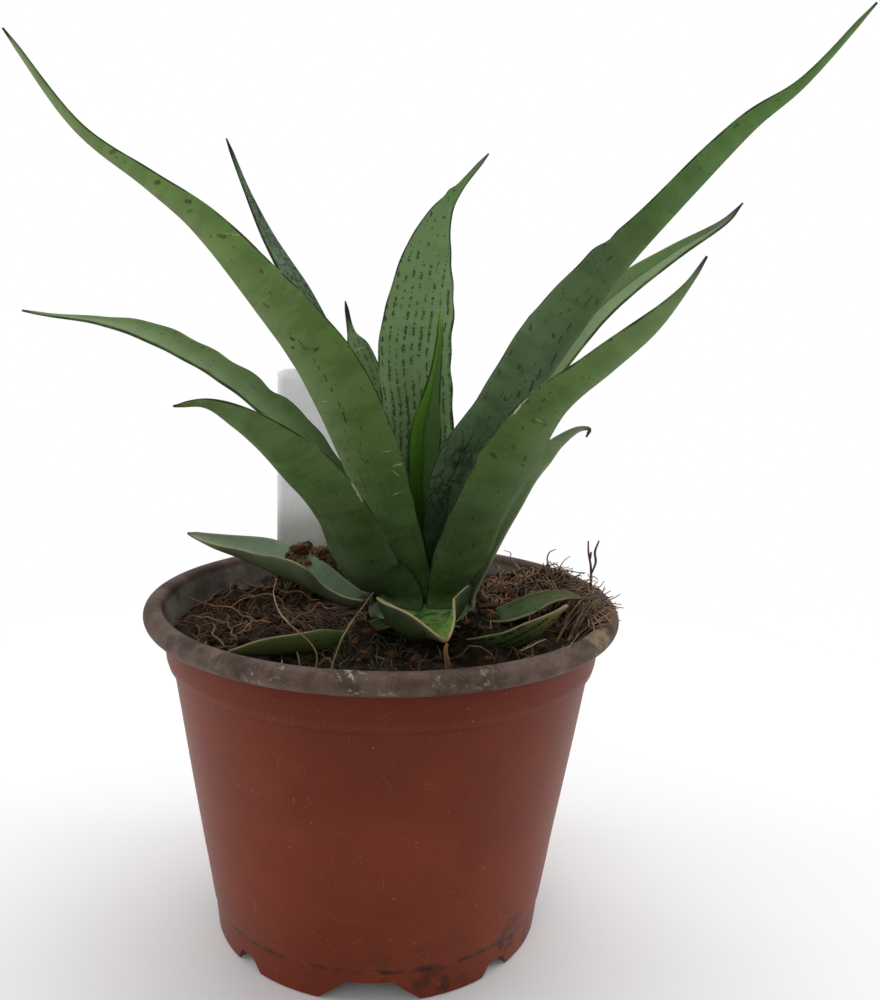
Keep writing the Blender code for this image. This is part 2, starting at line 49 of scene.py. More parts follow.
# Camera: a short distance in front of the pot, a little above the rim and rolled by a degree or
# two, as the picture was taken by hand.
EYE = Vector((0.0, -0.250, 0.158))
YAW = math.radians(3.1)
PITCH = math.radians(10.5)
ROLL = math.radians(1.84)
ahead = Vector((math.sin(YAW) * math.cos(PITCH), math.cos(YAW) * math.cos(PITCH), -math.sin(PITCH)))
level = Vector((math.cos(YAW), -math.sin(YAW), 0.0))
upright = level.cross(ahead)
right = level * math.cos(ROLL) + upright * math.sin(ROLL)
upward = upright * math.cos(ROLL) - level * math.sin(ROLL)
camera_data = bpy.data.cameras.new("camera")
camera_data.lens = 36.0
camera_data.sensor_width = 36.0
camera_data.clip_start = 0.01
camera = bpy.data.objects.new("camera", camera_data)
camera.matrix_world = Matrix.Translation(EYE) @ Matrix((right, upward, -ahead)).transposed().to_4x4()
scene.collection.objects.link(camera)
scene.camera = camera
scene.view_settings.view_transform = "Standard"


# Studio light: a pale room with one wide panel above and behind the plant, two tall ones at its
# sides and a weak one in front, so that the top of the plant is bright and the soil lies in shade.
def give(tree, socket, value):
    """A shader socket linked to another one, or set to a plain value."""
    if isinstance(value, bpy.types.NodeSocket):
        tree.links.new(value, socket)
    else:
        socket.default_value = value


def add_node(tree, kind, feed=None, **settings):
    """A shader node, with its sockets linked or set from feed."""
    made = tree.nodes.new("ShaderNode" + kind)
    for name, value in settings.items():
        setattr(made, name, value)
    for socket, value in (feed or {}).items():
        give(tree, made.inputs[socket], value)
    return made


def add_panel(name, place, aim, width, height, power):
    lamp = bpy.data.lights.new(name, "AREA")
    lamp.shape = "RECTANGLE"
    lamp.size = width
    lamp.size_y = height
    lamp.energy = power
    panel = bpy.data.objects.new(name, lamp)
    panel.location = place
    panel.rotation_euler = (Vector(aim) - Vector(place)).to_track_quat("-Z", "Y").to_euler()
    panel.visible_camera = False
    scene.collection.objects.link(panel)


world = bpy.data.worlds.new("pale_room")
world.use_nodes = True
room = world.node_tree
room.nodes.clear()
backdrop = add_node(room, "Background", {"Color": (1.0, 1.0, 1.0, 1.0), "Strength": 1.0}).outputs[0]
room_glow = add_node(room, "Background", {"Color": (0.97, 0.98, 1.0, 1.0), "Strength": 0.42}).outputs[0]
seen = add_node(room, "LightPath").outputs["Is Camera Ray"]
either = add_node(room, "MixShader", {0: seen, 1: room_glow, 2: backdrop}).outputs[0]
add_node(room, "OutputWorld", {"Surface": either})
scene.world = world
add_panel("panel_above", (0.05, 0.30, 0.85), (0.0, 0.0, 0.12), 1.10, 0.80, 5.2)
add_panel("panel_left", (-0.62, -0.02, 0.26), (0.0, 0.0, 0.10), 0.36, 0.70, 1.7)
add_panel("panel_right", (0.62, 0.02, 0.26), (0.0, 0.0, 0.10), 0.36, 0.70, 1.7)
add_panel("panel_front", (-0.20, -0.75, 0.55), (0.0, 0.0, 0.12), 0.60, 0.40, 0.9)


# Floor: a wide pale sheet that the pot stands on, which fades into the room towards its edge so
# that no horizon line shows.
FLOOR_RADIUS = 1.2
FADE_START = 0.10
FADE_END = 0.42


def calc(tree, operation, *values):
    return add_node(tree, "Math", dict(enumerate(values)), operation=operation).outputs[0]


def times(tree, first, second):
    return calc(tree, "MULTIPLY", first, second)


def plus(tree, first, second):
    return calc(tree, "ADD", first, second)


def ease(tree, value, low, high):
    """0 at low, 1 at high, with a soft start and end."""
    feed = {"Value": value, "From Min": low, "From Max": high}
    return add_node(tree, "MapRange", feed, interpolation_type="SMOOTHSTEP").outputs[0]


def mixed(tree, factor, first, second):
    return add_node(tree, "Mix", {0: factor, 6: first, 7: second}, data_type="RGBA").outputs[2]


def cloud(tree, vector, scale, detail=2.0, roughness=0.5):
    feed = {"Vector": vector, "Scale": scale, "Detail": detail, "Roughness": roughness}
    return add_node(tree, "TexNoise", feed).outputs[0]


def split(tree, vector):
    return add_node(tree, "SeparateXYZ", {0: vector}).outputs


def object_place(tree):
    return add_node(tree, "TexCoord").outputs["Object"]


def from_axis(tree, x, y):
    return calc(tree, "SQRT", plus(tree, times(tree, x, x), times(tree, y, y)))


def new_material(name, roughness, specular=0.5):
    made = bpy.data.materials.new(name)
    made.use_nodes = True
    shader = made.node_tree.nodes["Principled BSDF"]
    shader.inputs["Roughness"].default_value = roughness
    shader.inputs["Specular IOR Level"].default_value = specular
    return made, made.node_tree, shader


floor_paint, tree, shader = new_material("pale_floor", 0.85)
spot = object_place(tree)
x, y, z = split(tree, spot)
shade = mixed(tree, cloud(tree, spot, 6.0), (0.90, 0.90, 0.89, 1.0), (0.94, 0.94, 0.94, 1.0))
tree.links.new(shade, shader.inputs["Base Color"])
tree.links.new(ease(tree, from_axis(tree, x, y), FADE_END, FADE_START), shader.inputs["Alpha"])
bm = bmesh.new()
bmesh.ops.create_circle(bm, cap_ends=True, segments=64, radius=FLOOR_RADIUS)
floor_mesh = bpy.data.meshes.new("floor")
bm.to_mesh(floor_mesh)
bm.free()
floor_mesh.materials.append(floor_paint)
floor = bpy.data.objects.new("floor", floor_mesh)
scene.collection.objects.link(floor)


# Pot: a thin nursery pot, injection moulded in terracotta-coloured plastic, with a rolled rim, a
# collar below it, a ledge line above the foot, eight notches and four drain holes. Its lip is
# grimy, with white and yellow lime on it.
RIM_RADIUS = 0.0600
POT_HEIGHT = 0.0865
LIP_HEIGHT = 0.0052
LIP_INNER_RADIUS = 0.0553
COLLAR_RADIUS = 0.0548
COLLAR_BOTTOM = 0.0736
BODY_TOP_RADIUS = 0.0531
BODY_TOP = 0.0712
BODY_BOTTOM_RADIUS = 0.0437
FOOT_TOP = 0.0084
FOOT_TOP_RADIUS = 0.0433
FOOT_RADIUS = 0.0425
FOOT_WIDTH = 0.0040
LEDGE = 0.0009
WALL = 0.0013
FLOOR_UNDERSIDE = 0.0065
FLOOR_TOP = 0.0080
FIRST_WIDE_NOTCH = -92
WIDE_NOTCH = (0.0248, 0.0108, 0.0057)
NARROW_NOTCH = (0.0093, 0.0046, 0.0038)
DRAIN_REACH = 0.0280
DRAIN_RADIUS = 0.0045
WALL_SLOPE = 0.1519
WALL_START = 0.0417
LIME_PLACE = (0.0490, -0.0300, 0.0862)


def minus(tree, first, second):
    return calc(tree, "SUBTRACT", first, second)


def slope(tree, value, rate, start):
    return calc(tree, "MULTIPLY_ADD", value, rate, start)


def distance_from(tree, value, middle):
    return calc(tree, "ABSOLUTE", minus(tree, value, middle))


def vector_calc(tree, operation, first, second=(0.0, 0.0, 0.0)):
    return add_node(tree, "VectorMath", {0: first, 1: second}, operation=operation).outputs


def joined(tree, x, y=0.0, z=0.0):
    return add_node(tree, "CombineXYZ", {0: x, 1: y, 2: z}).outputs[0]


def tone(*screen):
    """A colour given as it looks on a screen, from 0 to 255, for a shader."""
    linear = [((part / 255 + 0.055) / 1.055) ** 2.4 if part > 10 else part / 3295 for part in screen]
    return (*linear, 1.0)


def mottled(tree, pattern, low, high, dark, light):
    """Two colours that pass into each other where a pattern rises from low to high."""
    return mixed(tree, ease(tree, pattern, low, high), tone(*dark), tone(*light))


def stained(tree, colour, mask, strength, paint):
    """A colour with another one laid over it where the mask says."""
    return mixed(tree, times(tree, mask, strength), colour, tone(*paint))


def finish(tree, shader, colour, height, strength, distance):
    """The colour and the fine relief of a material."""
    bump = add_node(tree, "Bump", {"Height": height, "Strength": strength, "Distance": distance})
    tree.links.new(bump.outputs[0], shader.inputs["Normal"])
    tree.links.new(colour, shader.inputs["Base Color"])


def new_group(name, inputs, outputs):
    """A shader node group with number or vector inputs, named outputs, and its end nodes."""
    group = bpy.data.node_groups.new(name, "ShaderNodeTree")
    for label, value in inputs.items():
        kind = "NodeSocketVector" if value is None else "NodeSocketFloat"
        socket = group.interface.new_socket(label, in_out="INPUT", socket_type=kind)
        if value is not None:
            socket.default_value = value
    for label in outputs:
        group.interface.new_socket(label, in_out="OUTPUT", socket_type="NodeSocketFloat")
    return group, group.nodes.new("NodeGroupInput").outputs, group.nodes.new("NodeGroupOutput").inputs


def use_group(tree, group, **feed):
    made = tree.nodes.new("ShaderNodeGroup")
    made.node_tree = group
    for label, value in feed.items():
        give(tree, made.inputs[label.title()], value)
    return made.outputs


def arc(centre, radius, start, end, count):
    angles = [math.radians(start + (end - start) * i / (count - 1)) for i in range(count)]
    return [(centre[0] + radius * math.cos(a), centre[1] + radius * math.sin(a)) for a in angles]


def turned(profile, steps):
    """A closed skin turned round Z from (radius, height) points that start and end on the axis."""
    made = bmesh.new()
    points = [made.verts.new((radius, 0.0, height)) for radius, height in profile]
    edges = [made.edges.new(pair) for pair in zip(points, points[1:])]
    bmesh.ops.spin(
        made,
        geom=points + edges,
        axis=(0.0, 0.0, 1.0),
        cent=(0.0, 0.0, 0.0),
        angle=2 * math.pi,
        steps=steps,
        use_merge=True,
    )
    bmesh.ops.remove_doubles(made, verts=made.verts, dist=0.00001)
    bmesh.ops.recalc_face_normals(made, faces=made.faces)
    return made


def place_piece(name, data, node=None):
    """A finished piece of the plant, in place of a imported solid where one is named."""
    piece = bpy.data.objects.new(name, data)
    scene.collection.objects.link(piece)
    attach(piece, "root")
    if node:
        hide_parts(node)
    return piece


def add_piece(made, name, skin, node=None, sharp=None):
    """A bmesh as a piece, with edges kept sharp from an angle in degrees."""
    mesh = bpy.data.meshes.new(name)
    made.to_mesh(mesh)
    made.free()
    mesh.materials.append(skin)
    mesh.shade_smooth()
    if sharp is not None:
        mesh.set_sharp_from_angle(angle=math.radians(sharp))
    return place_piece(name, mesh, node)


def notch_block(made, azimuth, bottom, top, height):
    """A block with sloping sides that reaches through the foot ring at one azimuth."""
    block = bmesh.ops.create_cube(made, size=1.0)["verts"]
    for vert in block:
        wide = top if vert.co.z > 0 else bottom * 1.35 - top * 0.35
        vert.co.x *= wide
        vert.co.z = height if vert.co.z > 0 else -0.35 * height
    bmesh.ops.scale(made, verts=block, vec=(1.0, 0.016, 1.0))
    bmesh.ops.translate(made, verts=block, vec=(0.0, FOOT_RADIUS - 0.001, 0.0))
    turn = Matrix.Rotation(math.radians(azimuth - 90), 3, "Z")
    bmesh.ops.rotate(made, verts=block, matrix=turn, cent=(0.0, 0.0, 0.0))


# Fine scratches: short straight lines in all directions, on the pot and on the plant label.
scratch_sizes = {"Vector": None, "Scale": 200.0, "Share": 0.3, "Width": 0.03}
scratches, at, out = new_group("fine_scratches", scratch_sizes, ["Mask"])
scaled = add_node(scratches, "VectorMath", {0: at["Vector"], 3: at["Scale"]}, operation="SCALE").outputs[0]
cells = add_node(scratches, "TexVoronoi", {"Vector": scaled, "Scale": 1.0}).outputs
offset = vector_calc(scratches, "SUBTRACT", scaled, cells["Position"])[0]
facing = vector_calc(scratches, "SUBTRACT", cells["Color"], (0.5, 0.5, 0.5))[0]
facing = vector_calc(scratches, "NORMALIZE", facing)[0]
off = calc(scratches, "ABSOLUTE", vector_calc(scratches, "DOT_PRODUCT", offset, facing)["Value"])
thin = ease(scratches, off, at["Width"], 0.0)
short = ease(scratches, cells["Distance"], 0.50, 0.30)
picked = calc(scratches, "GREATER_THAN", at["Share"], split(scratches, cells["Color"])[0])
scratches.links.new(times(scratches, times(scratches, thin, short), picked), out["Mask"])

pot_skin, tree, shader = new_material("moulded_terracotta", 0.42, 0.16)
spot = object_place(tree)
x, y, z = split(tree, spot)
body_mottle = cloud(tree, spot, 38.0, 5.0, 0.6)
body = mottled(tree, body_mottle, 0.30, 0.72, (106, 41, 20), (118, 50, 26))
streaks = cloud(tree, joined(tree, times(tree, x, 0.3), times(tree, y, 0.3), z), 420.0, 3.0)
body = stained(tree, body, ease(tree, streaks, 0.55, 0.78), 0.16, (128, 66, 44))
# Painted shade: the body darkens upwards, under the overhanging collar.
body = stained(tree, body, ease(tree, z, 0.048, 0.078), 0.45, (96, 36, 20))
lip_zone = ease(tree, plus(tree, z, times(tree, cloud(tree, spot, 160.0), 0.0008)), 0.0812, 0.0824)
wall_line = slope(tree, ease(tree, z, BODY_TOP, COLLAR_BOTTOM), 0.0006, WALL_START)
wall_line = slope(tree, z, WALL_SLOPE, wall_line)
inside_zone = ease(tree, minus(tree, wall_line, from_axis(tree, x, y)), -0.0001, 0.0002)
grime_mottle = cloud(tree, spot, 120.0, 6.0, 0.65)
grime = mottled(tree, grime_mottle, 0.32, 0.68, (66, 49, 41), (106, 88, 77))
inner_grime = mottled(tree, grime_mottle, 0.32, 0.68, (80, 73, 66), (122, 116, 106))
colour = mixed(tree, lip_zone, body, grime)
colour = mixed(tree, inside_zone, colour, inner_grime)
crust_grain = ease(tree, cloud(tree, spot, 560.0, 4.0, 0.7), 0.53, 0.64)
front_middle = ease(tree, distance_from(tree, x, -0.006), 0.036, 0.016)
front_lip = times(tree, front_middle, ease(tree, y, -0.040, -0.050))
crust_patches = ease(tree, cloud(tree, spot, 90.0, 3.0), 0.44, 0.60)
crust_place = times(tree, times(tree, ease(tree, z, 0.0815, 0.0835), front_lip), crust_patches)
crust = times(tree, crust_place, crust_grain)
colour = stained(tree, colour, crust, 0.75, (186, 180, 164))
from_patch = vector_calc(tree, "DISTANCE", spot, LIME_PLACE)["Value"]
from_patch = slope(tree, cloud(tree, spot, 420.0, 5.0, 0.75), 0.026, from_patch)
lime = ease(tree, from_patch, 0.0178, 0.0162)
colour = stained(tree, colour, lime, 0.65, (140, 126, 90))
low_dirt = ease(tree, cloud(tree, spot, 140.0, 6.0, 0.7), 0.52, 0.62)
low_dirt = times(tree, times(tree, ease(tree, z, 0.026, 0.004), low_dirt), ease(tree, x, -0.030, 0.030))
colour = stained(tree, colour, low_dirt, 0.75, (40, 24, 18))
ledge_near = ease(tree, distance_from(tree, z, 0.0088), 0.0011, 0.0003)
ledge_dirt = times(tree, ledge_near, ease(tree, cloud(tree, spot, 210.0, 3.0), 0.44, 0.60))
colour = stained(tree, colour, ledge_dirt, 0.8, (38, 22, 16))
scrape = use_group(tree, scratches, vector=spot, scale=170.0, share=0.30, width=0.022)["Mask"]
colour = stained(tree, colour, scrape, 0.30, (150, 92, 72))
specks = ease(tree, cloud(tree, spot, 900.0, 1.0), 0.70, 0.76)
colour = stained(tree, colour, specks, 0.35, (44, 26, 20))
pale_specks = ease(tree, cloud(tree, spot, 1300.0, 1.0), 0.755, 0.79)
colour = stained(tree, colour, pale_specks, 0.5, (168, 140, 126))
dull = plus(tree, 0.36, times(tree, body_mottle, 0.14))
dull = plus(tree, dull, times(tree, calc(tree, "MAXIMUM", lip_zone, inside_zone), 0.16))
dull = plus(tree, dull, times(tree, crust, 0.3))
tree.links.new(dull, shader.inputs["Roughness"])
relief = plus(tree, times(tree, grime_mottle, 0.5), times(tree, crust, 0.9))
relief = minus(tree, plus(tree, relief, lime), times(tree, scrape, 0.3))
finish(tree, shader, colour, relief, 0.35, 0.0004)

roll = LIP_HEIGHT / 2
lip_bottom = POT_HEIGHT - LIP_HEIGHT
foot_inside = FOOT_RADIUS - FOOT_WIDTH
collar_step = COLLAR_RADIUS - BODY_TOP_RADIUS
inner_roll = 0.6 * roll
foot_points = [
    (0.0, FLOOR_UNDERSIDE),
    (foot_inside - LEDGE, FLOOR_UNDERSIDE),
    (foot_inside, 0.0),
    (FOOT_RADIUS - 0.0004, 0.0),
    (FOOT_RADIUS, 0.0004),
    (FOOT_TOP_RADIUS, FOOT_TOP),
    (FOOT_TOP_RADIUS + 0.00005, FOOT_TOP + 0.0003),
    (BODY_BOTTOM_RADIUS - 0.0001, FOOT_TOP + 0.0006),
    (BODY_BOTTOM_RADIUS, FOOT_TOP + LEDGE),
]
rise = BODY_TOP - FOOT_TOP - LEDGE
grow = BODY_TOP_RADIUS - BODY_BOTTOM_RADIUS
body_points = [(BODY_BOTTOM_RADIUS + grow * i / 12, FOOT_TOP + LEDGE + rise * i / 12) for i in range(1, 13)]
collar_points = [
    (BODY_TOP_RADIUS + 0.20 * collar_step, BODY_TOP + 0.0003),
    (BODY_TOP_RADIUS + 0.70 * collar_step, BODY_TOP + 0.0009),
    (COLLAR_RADIUS - 0.0003, COLLAR_BOTTOM - 0.0007),
    (COLLAR_RADIUS - 0.0001, COLLAR_BOTTOM),
    (COLLAR_RADIUS, COLLAR_BOTTOM + 0.0008),
    (COLLAR_RADIUS, lip_bottom - 0.0005),
    (COLLAR_RADIUS + 0.0004, lip_bottom - 0.0001),
]
lip_points = arc((RIM_RADIUS - roll, lip_bottom + roll), roll, -80, 90, 14)
lip_points += arc((LIP_INNER_RADIUS + inner_roll, POT_HEIGHT - inner_roll), inner_roll, 95, 185, 8)
inside_points = [
    (COLLAR_RADIUS - WALL, lip_bottom - 0.0004),
    (COLLAR_RADIUS - WALL, COLLAR_BOTTOM),
    (BODY_TOP_RADIUS - WALL, BODY_TOP),
    (BODY_BOTTOM_RADIUS - WALL, FLOOR_TOP),
    (0.0, FLOOR_TOP),
]
bm = turned(foot_points + body_points + collar_points + lip_points + inside_points, 180)
for vert in bm.verts:
    if vert.co.z > 0.020:
        push = noise.noise(vert.co * 24.0) * 0.00022
        vert.co += Vector((vert.co.x, vert.co.y, 0.0)).normalized() * push
pot_shell = add_piece(bm, "pot_shell", pot_skin, "pot", sharp=38)

bm = bmesh.new()
for quarter in range(4):
    azimuth = FIRST_WIDE_NOTCH + 90 * quarter
    notch_block(bm, azimuth, *WIDE_NOTCH)
    notch_block(bm, azimuth + 45, *NARROW_NOTCH)
    angle = math.radians(azimuth)
    place = Matrix.Translation((DRAIN_REACH * math.cos(angle), DRAIN_REACH * math.sin(angle), FLOOR_TOP))
    sizes = dict(radius1=DRAIN_RADIUS, radius2=DRAIN_RADIUS, depth=0.006)
    bmesh.ops.create_cone(bm, cap_ends=True, segments=28, matrix=place, **sizes)
bmesh.ops.recalc_face_normals(bm, faces=bm.faces)
cutter_mesh = bpy.data.meshes.new("pot_cutter")
bm.to_mesh(cutter_mesh)
bm.free()
cutter = bpy.data.objects.new("pot_cutter", cutter_mesh)
scene.collection.objects.link(cutter)
opening = pot_shell.modifiers.new("openings", "BOOLEAN")
opening.object = cutter
opening.solver = "EXACT"
opening.operation = "DIFFERENCE"
cut_mesh = bpy.data.meshes.new_from_object(pot_shell.evaluated_get(bpy.context.evaluated_depsgraph_get()))
pot_shell.modifiers.clear()
pot_shell.data = cut_mesh
bpy.data.objects.remove(cutter)


# Potting mix: dark, damp peat and coir pressed in by hand, a little below the rim at the left and
# heaped over it at the right, where the root ball was set high. Small clods lie along the front.
MOUND_PLACE = (0.0450, 0.0170)
CLUMP_PLACES = ((-0.0262, 0.0245), (-0.0200, 0.0243), (-0.0142, 0.0235))
CROWN_PLACE = (0.0100, 0.0020)
SOIL_LEVEL = 0.0788
SOIL_GAP = 0.0003
SOIL_EDGE = COLLAR_RADIUS - WALL - SOIL_GAP
HUMPS = (
    (MOUND_PLACE, 0.0070, 0.0120),
    (CLUMP_PLACES[0], 0.0114, 0.0034),
    (CLUMP_PLACES[1], 0.0106, 0.0034),
    (CLUMP_PLACES[2], 0.0116, 0.0030),
    ((0.0268, -0.0100), 0.0042, 0.0036),
    ((0.0218, -0.0205), 0.0060, 0.0034),
    ((0.0255, -0.0265), 0.0056, 0.0034),
    ((-0.0055, -0.0205), 0.0056, 0.0038),
    ((-0.0055, -0.0275), 0.0040, 0.0042),
)
GRAINS = ((0.0013, 190, 3.0), (0.0010, 520, 7.0), (0.0005, 1300, 11.0))


def ground(x, y):
    """Height of the soil's top, with its clods."""
    ripple = 0.0006 * math.sin(210 * x + 1.0) * math.cos(170 * y) + 0.0004 * math.sin(420 * y + 260 * x)
    height = SOIL_LEVEL + ripple + 0.018 * x + 0.008 * y
    for place, rise, spread in HUMPS:
        height += rise * math.exp(-((x - place[0]) ** 2 + (y - place[1]) ** 2) / (2 * spread**2))
    from_crown = math.hypot(x - CROWN_PLACE[0], y - CROWN_PLACE[1])
    azimuth = math.degrees(math.atan2(y - CROWN_PLACE[1], x - CROWN_PLACE[0]))
    front = math.exp(-(((azimuth + 90) / 38) ** 2))
    height += 0.0036 * math.exp(-((max(from_crown - 0.0150, 0.0) / 0.0040) ** 2)) * (1 - front)
    for lift, scale, seed in GRAINS:
        height += lift * noise.noise(Vector((x * scale, y * scale, seed)))
    return height


def soil_material(name, dark, light):
    skin, tree, shader = new_material(name, 0.95, 0.15)
    spot = object_place(tree)
    shade = add_node(tree, "Attribute", attribute_name="shade").outputs["Fac"]
    clods = cloud(tree, spot, 420.0, 6.0, 0.7)
    colour = mottled(tree, clods, 0.35, 0.68, dark, light)
    colour = mixed(tree, shade, colour, tone(118, 76, 44))
    flecks = ease(tree, cloud(tree, spot, 1500.0, 2.0), 0.68, 0.76)
    colour = stained(tree, colour, flecks, 0.5, (140, 104, 66))
    finish(tree, shader, colour, clods, 0.9, 0.0010)
    return skin


edge_points = [
    (0.0, FLOOR_TOP + SOIL_GAP),
    (BODY_BOTTOM_RADIUS - WALL - SOIL_GAP, FLOOR_TOP + SOIL_GAP),
    (BODY_TOP_RADIUS - WALL - SOIL_GAP, BODY_TOP),
    (SOIL_EDGE, COLLAR_BOTTOM + SOIL_GAP),
]
top_points = [(SOIL_EDGE * (1 - i / 64), SOIL_LEVEL) for i in range(65)]
bm = turned(edge_points + top_points, 192)
for vert in bm.verts:
    if vert.co.z > COLLAR_BOTTOM + 2 * SOIL_GAP:
        vert.co.z = ground(vert.co.x, vert.co.y)
add_piece(bm, "soil_bed", soil_material("damp_peat", (24, 20, 14), (58, 48, 34)), "soil")


# Crumbs: loose bits of peat, grit and bark that lie on the mix, thickest on the heap, round the
# crown and on the clump by the label, with three larger brown bits of bark in front.
SCATTER_REACH = 0.0535
SCATTER_LIMIT = 0.0525
SEED = 11
chance = random.Random(SEED)
noise.seed_set(SEED)


def scatter(count, spread=None):
    """Places on the soil, all over it or round one place."""
    found = []
    while len(found) < count:
        if spread:
            x = chance.gauss(spread[0], spread[2])
            y = chance.gauss(spread[1], spread[2])
        else:
            reach = SCATTER_REACH * math.sqrt(chance.random())
            angle = chance.uniform(0, 2 * math.pi)
            x = reach * math.cos(angle)
            y = reach * math.sin(angle)
        if math.hypot(x, y) < SCATTER_LIMIT:
            found.append((x, y))
    return found


bm = bmesh.new()
shade_layer = bm.verts.layers.float.new("shade")


def add_crumb(x, y, size, shade, longest=1.9):
    place = Matrix.Translation((x, y, ground(x, y) + 0.25 * size))
    turn = Matrix.Rotation(chance.uniform(0, 6.28), 4, "Z")
    turn = turn @ Matrix.Rotation(chance.uniform(-0.6, 0.6), 4, "X")
    spans = [chance.uniform(low, high) for low, high in ((0.8, longest), (0.6, 1.1), (0.4, 0.9))]
    shape = place @ turn @ Matrix.Diagonal((*spans, 1.0))
    crumb = bmesh.ops.create_icosphere(bm, subdivisions=1, radius=size, matrix=shape)["verts"]
    for vert in crumb:
        vert.co += noise.noise_vector(vert.co * 1400.0) * size * 0.35
        vert[shade_layer] = shade


for x, y in scatter(1100) + scatter(420, (*MOUND_PLACE, 0.010)) + scatter(200, (*CROWN_PLACE, 0.017)):
    add_crumb(x, y, 0.00032 + 0.0013 * chance.random() ** 3, chance.choice((0.0, 0.0, 0.0, 0.1, 0.25, 0.5)))
for place in CLUMP_PLACES:
    for x, y in scatter(40, (*place, 0.0026)):
        add_crumb(x, y, 0.0004 + 0.0008 * chance.random() ** 2, chance.choice((0.0, 0.1, 0.2, 0.4)), 3.0)
for x, y in scatter(60, (*MOUND_PLACE, 0.0090)):
    add_crumb(x, y, 0.0007 + 0.0009 * chance.random(), chance.choice((0.2, 0.4, 0.7)), 3.4)
add_crumb(-0.0020, -0.0222, 0.0012, 1.0, 1.0)
add_crumb(0.0279, -0.0040, 0.0015, 1.0, 1.6)
add_crumb(0.0268, -0.0065, 0.0012, 0.8, 1.4)
crumb_skin = soil_material("loose_crumbs", (26, 20, 13), (66, 48, 32))
add_piece(bm, "soil_crumbs", crumb_skin, sharp=20)


# Coir and fine roots: hair-thin brown fibres that lie in loose arcs over the mix, densest on the
# heap at the right and on the clump by the label, with a few pale dry ones.
LYING_LIMIT = 0.0530


def fibre_material(name, dark, light, roughness=0.8):
    skin, tree, shader = new_material(name, roughness)
    spot = object_place(tree)
    colour = mottled(tree, cloud(tree, spot, 130.0, 3.0), 0.35, 0.65, dark, light)
    fine = cloud(tree, spot, 2600.0, 2.0)
    finish(tree, shader, stained(tree, colour, fine, 0.35, dark), fine, 0.5, 0.0001)
    return skin


def add_strands(name, paths, thickness, skin):
    """Thin round strands along lists of points, thinner at both ends or as each point says."""
    curve = bpy.data.curves.new(name, "CURVE")
    curve.dimensions = "3D"
    curve.bevel_depth = thickness
    curve.bevel_resolution = 1
    curve.use_fill_caps = True
    for points in paths:
        spline = curve.splines.new("POLY")
        spline.points.add(len(points) - 1)
        for index, point in enumerate(points):
            at = index / (len(points) - 1)
            width = point[3] if len(point) > 3 else 0.35 + 0.65 * math.sin(math.pi * (0.12 + 0.76 * at))
            spline.points[index].co = (*point[:3], 1.0)
            spline.points[index].radius = width
        spline.use_smooth = True
    curve.materials.append(skin)
    place_piece(name, curve)


def lying(x, y, length, lift, bend):
    """A fibre that starts at a place on the soil and curls away over it."""
    heading = chance.uniform(0, 2 * math.pi)
    turn = chance.gauss(0, bend)
    points = []
    steps = 9
    for i in range(steps):
        at = i / (steps - 1)
        if math.hypot(x, y) > LYING_LIMIT:
            break
        points.append((x, y, ground(x, y) + 0.0002 + lift * math.sin(math.pi * at)))
        x += length / steps * math.cos(heading)
        y += length / steps * math.sin(heading)
        heading += turn / steps + chance.gauss(0, 0.12)
    return points


def many_fibres(places, low, high, lift, bend=1.6):
    """Lying fibres between two lengths, without the ones that the wall cuts short."""
    paths = [lying(x, y, chance.uniform(low, high), chance.uniform(0.0, lift), bend) for x, y in places]
    return [points for points in paths if len(points) > 3]


coir_brown = fibre_material("coir_brown", (54, 38, 25), (108, 76, 50))
coir_heap = fibre_material("coir_heap", (74, 54, 40), (152, 122, 92))
coir_pale = fibre_material("coir_pale", (104, 78, 50), (160, 130, 92))
add_strands("coir_fibres", many_fibres(scatter(230), 0.004, 0.013, 0.0016), 0.00014, coir_brown)
places = scatter(250, (*MOUND_PLACE, 0.0095)) + scatter(24, (*CLUMP_PLACES[1], 0.0050))
add_strands("heap_fibres", many_fibres(places, 0.004, 0.010, 0.0024), 0.00022, coir_heap)
clump = []
for place in CLUMP_PLACES:
    clump += many_fibres(scatter(150, (*place, 0.0030)), 0.002, 0.006, 0.0009, 2.6)
add_strands("clump_hairs", clump, 0.00012, fibre_material("clump_brown", (92, 76, 48), (158, 132, 86)))
places = scatter(46) + scatter(26, (*MOUND_PLACE, 0.010))
add_strands("pale_fibres", many_fibres(places, 0.005, 0.014, 0.0026), 0.00015, coir_pale)


# Coir at the rim: stiff dry ends of the same fibre, held in the heap at one end, that stand up
# from it and reach out over the lip at the right.
def reaching(x, y, heading, length, climb):
    """A stiff fibre that leaves the heap at a slope."""
    points = []
    z = ground(x, y)
    for i in range(7):
        points.append((x, y, z, 1.0 - 0.11 * i))
        x += length / 6 * math.cos(heading)
        y += length / 6 * math.sin(heading)
        z += length / 6 * climb
        heading += chance.gauss(0, 0.10)
        climb -= chance.uniform(0.0, 0.16)
    return points


def over_lip(azimuth, start, reach, top):
    """A fibre that climbs from the heap and bends out over the lip of the pot."""
    angle = math.radians(azimuth)
    low = ground(start * math.cos(angle), start * math.sin(angle))
    sway = chance.gauss(0, 0.20)
    curl = chance.gauss(0, 0.06)
    points = []
    for i in range(7):
        at = i / 6
        out = start + (reach - start) * at
        z = low + (top - low) * math.sin(math.pi * min(0.5, 0.72 * at)) + chance.gauss(0, 0.00020)
        turned_by = angle + sway * at + curl * math.sin(5 * at)
        points.append((out * math.cos(turned_by), out * math.sin(turned_by), z, 1.0 - 0.1 * i))
    return points


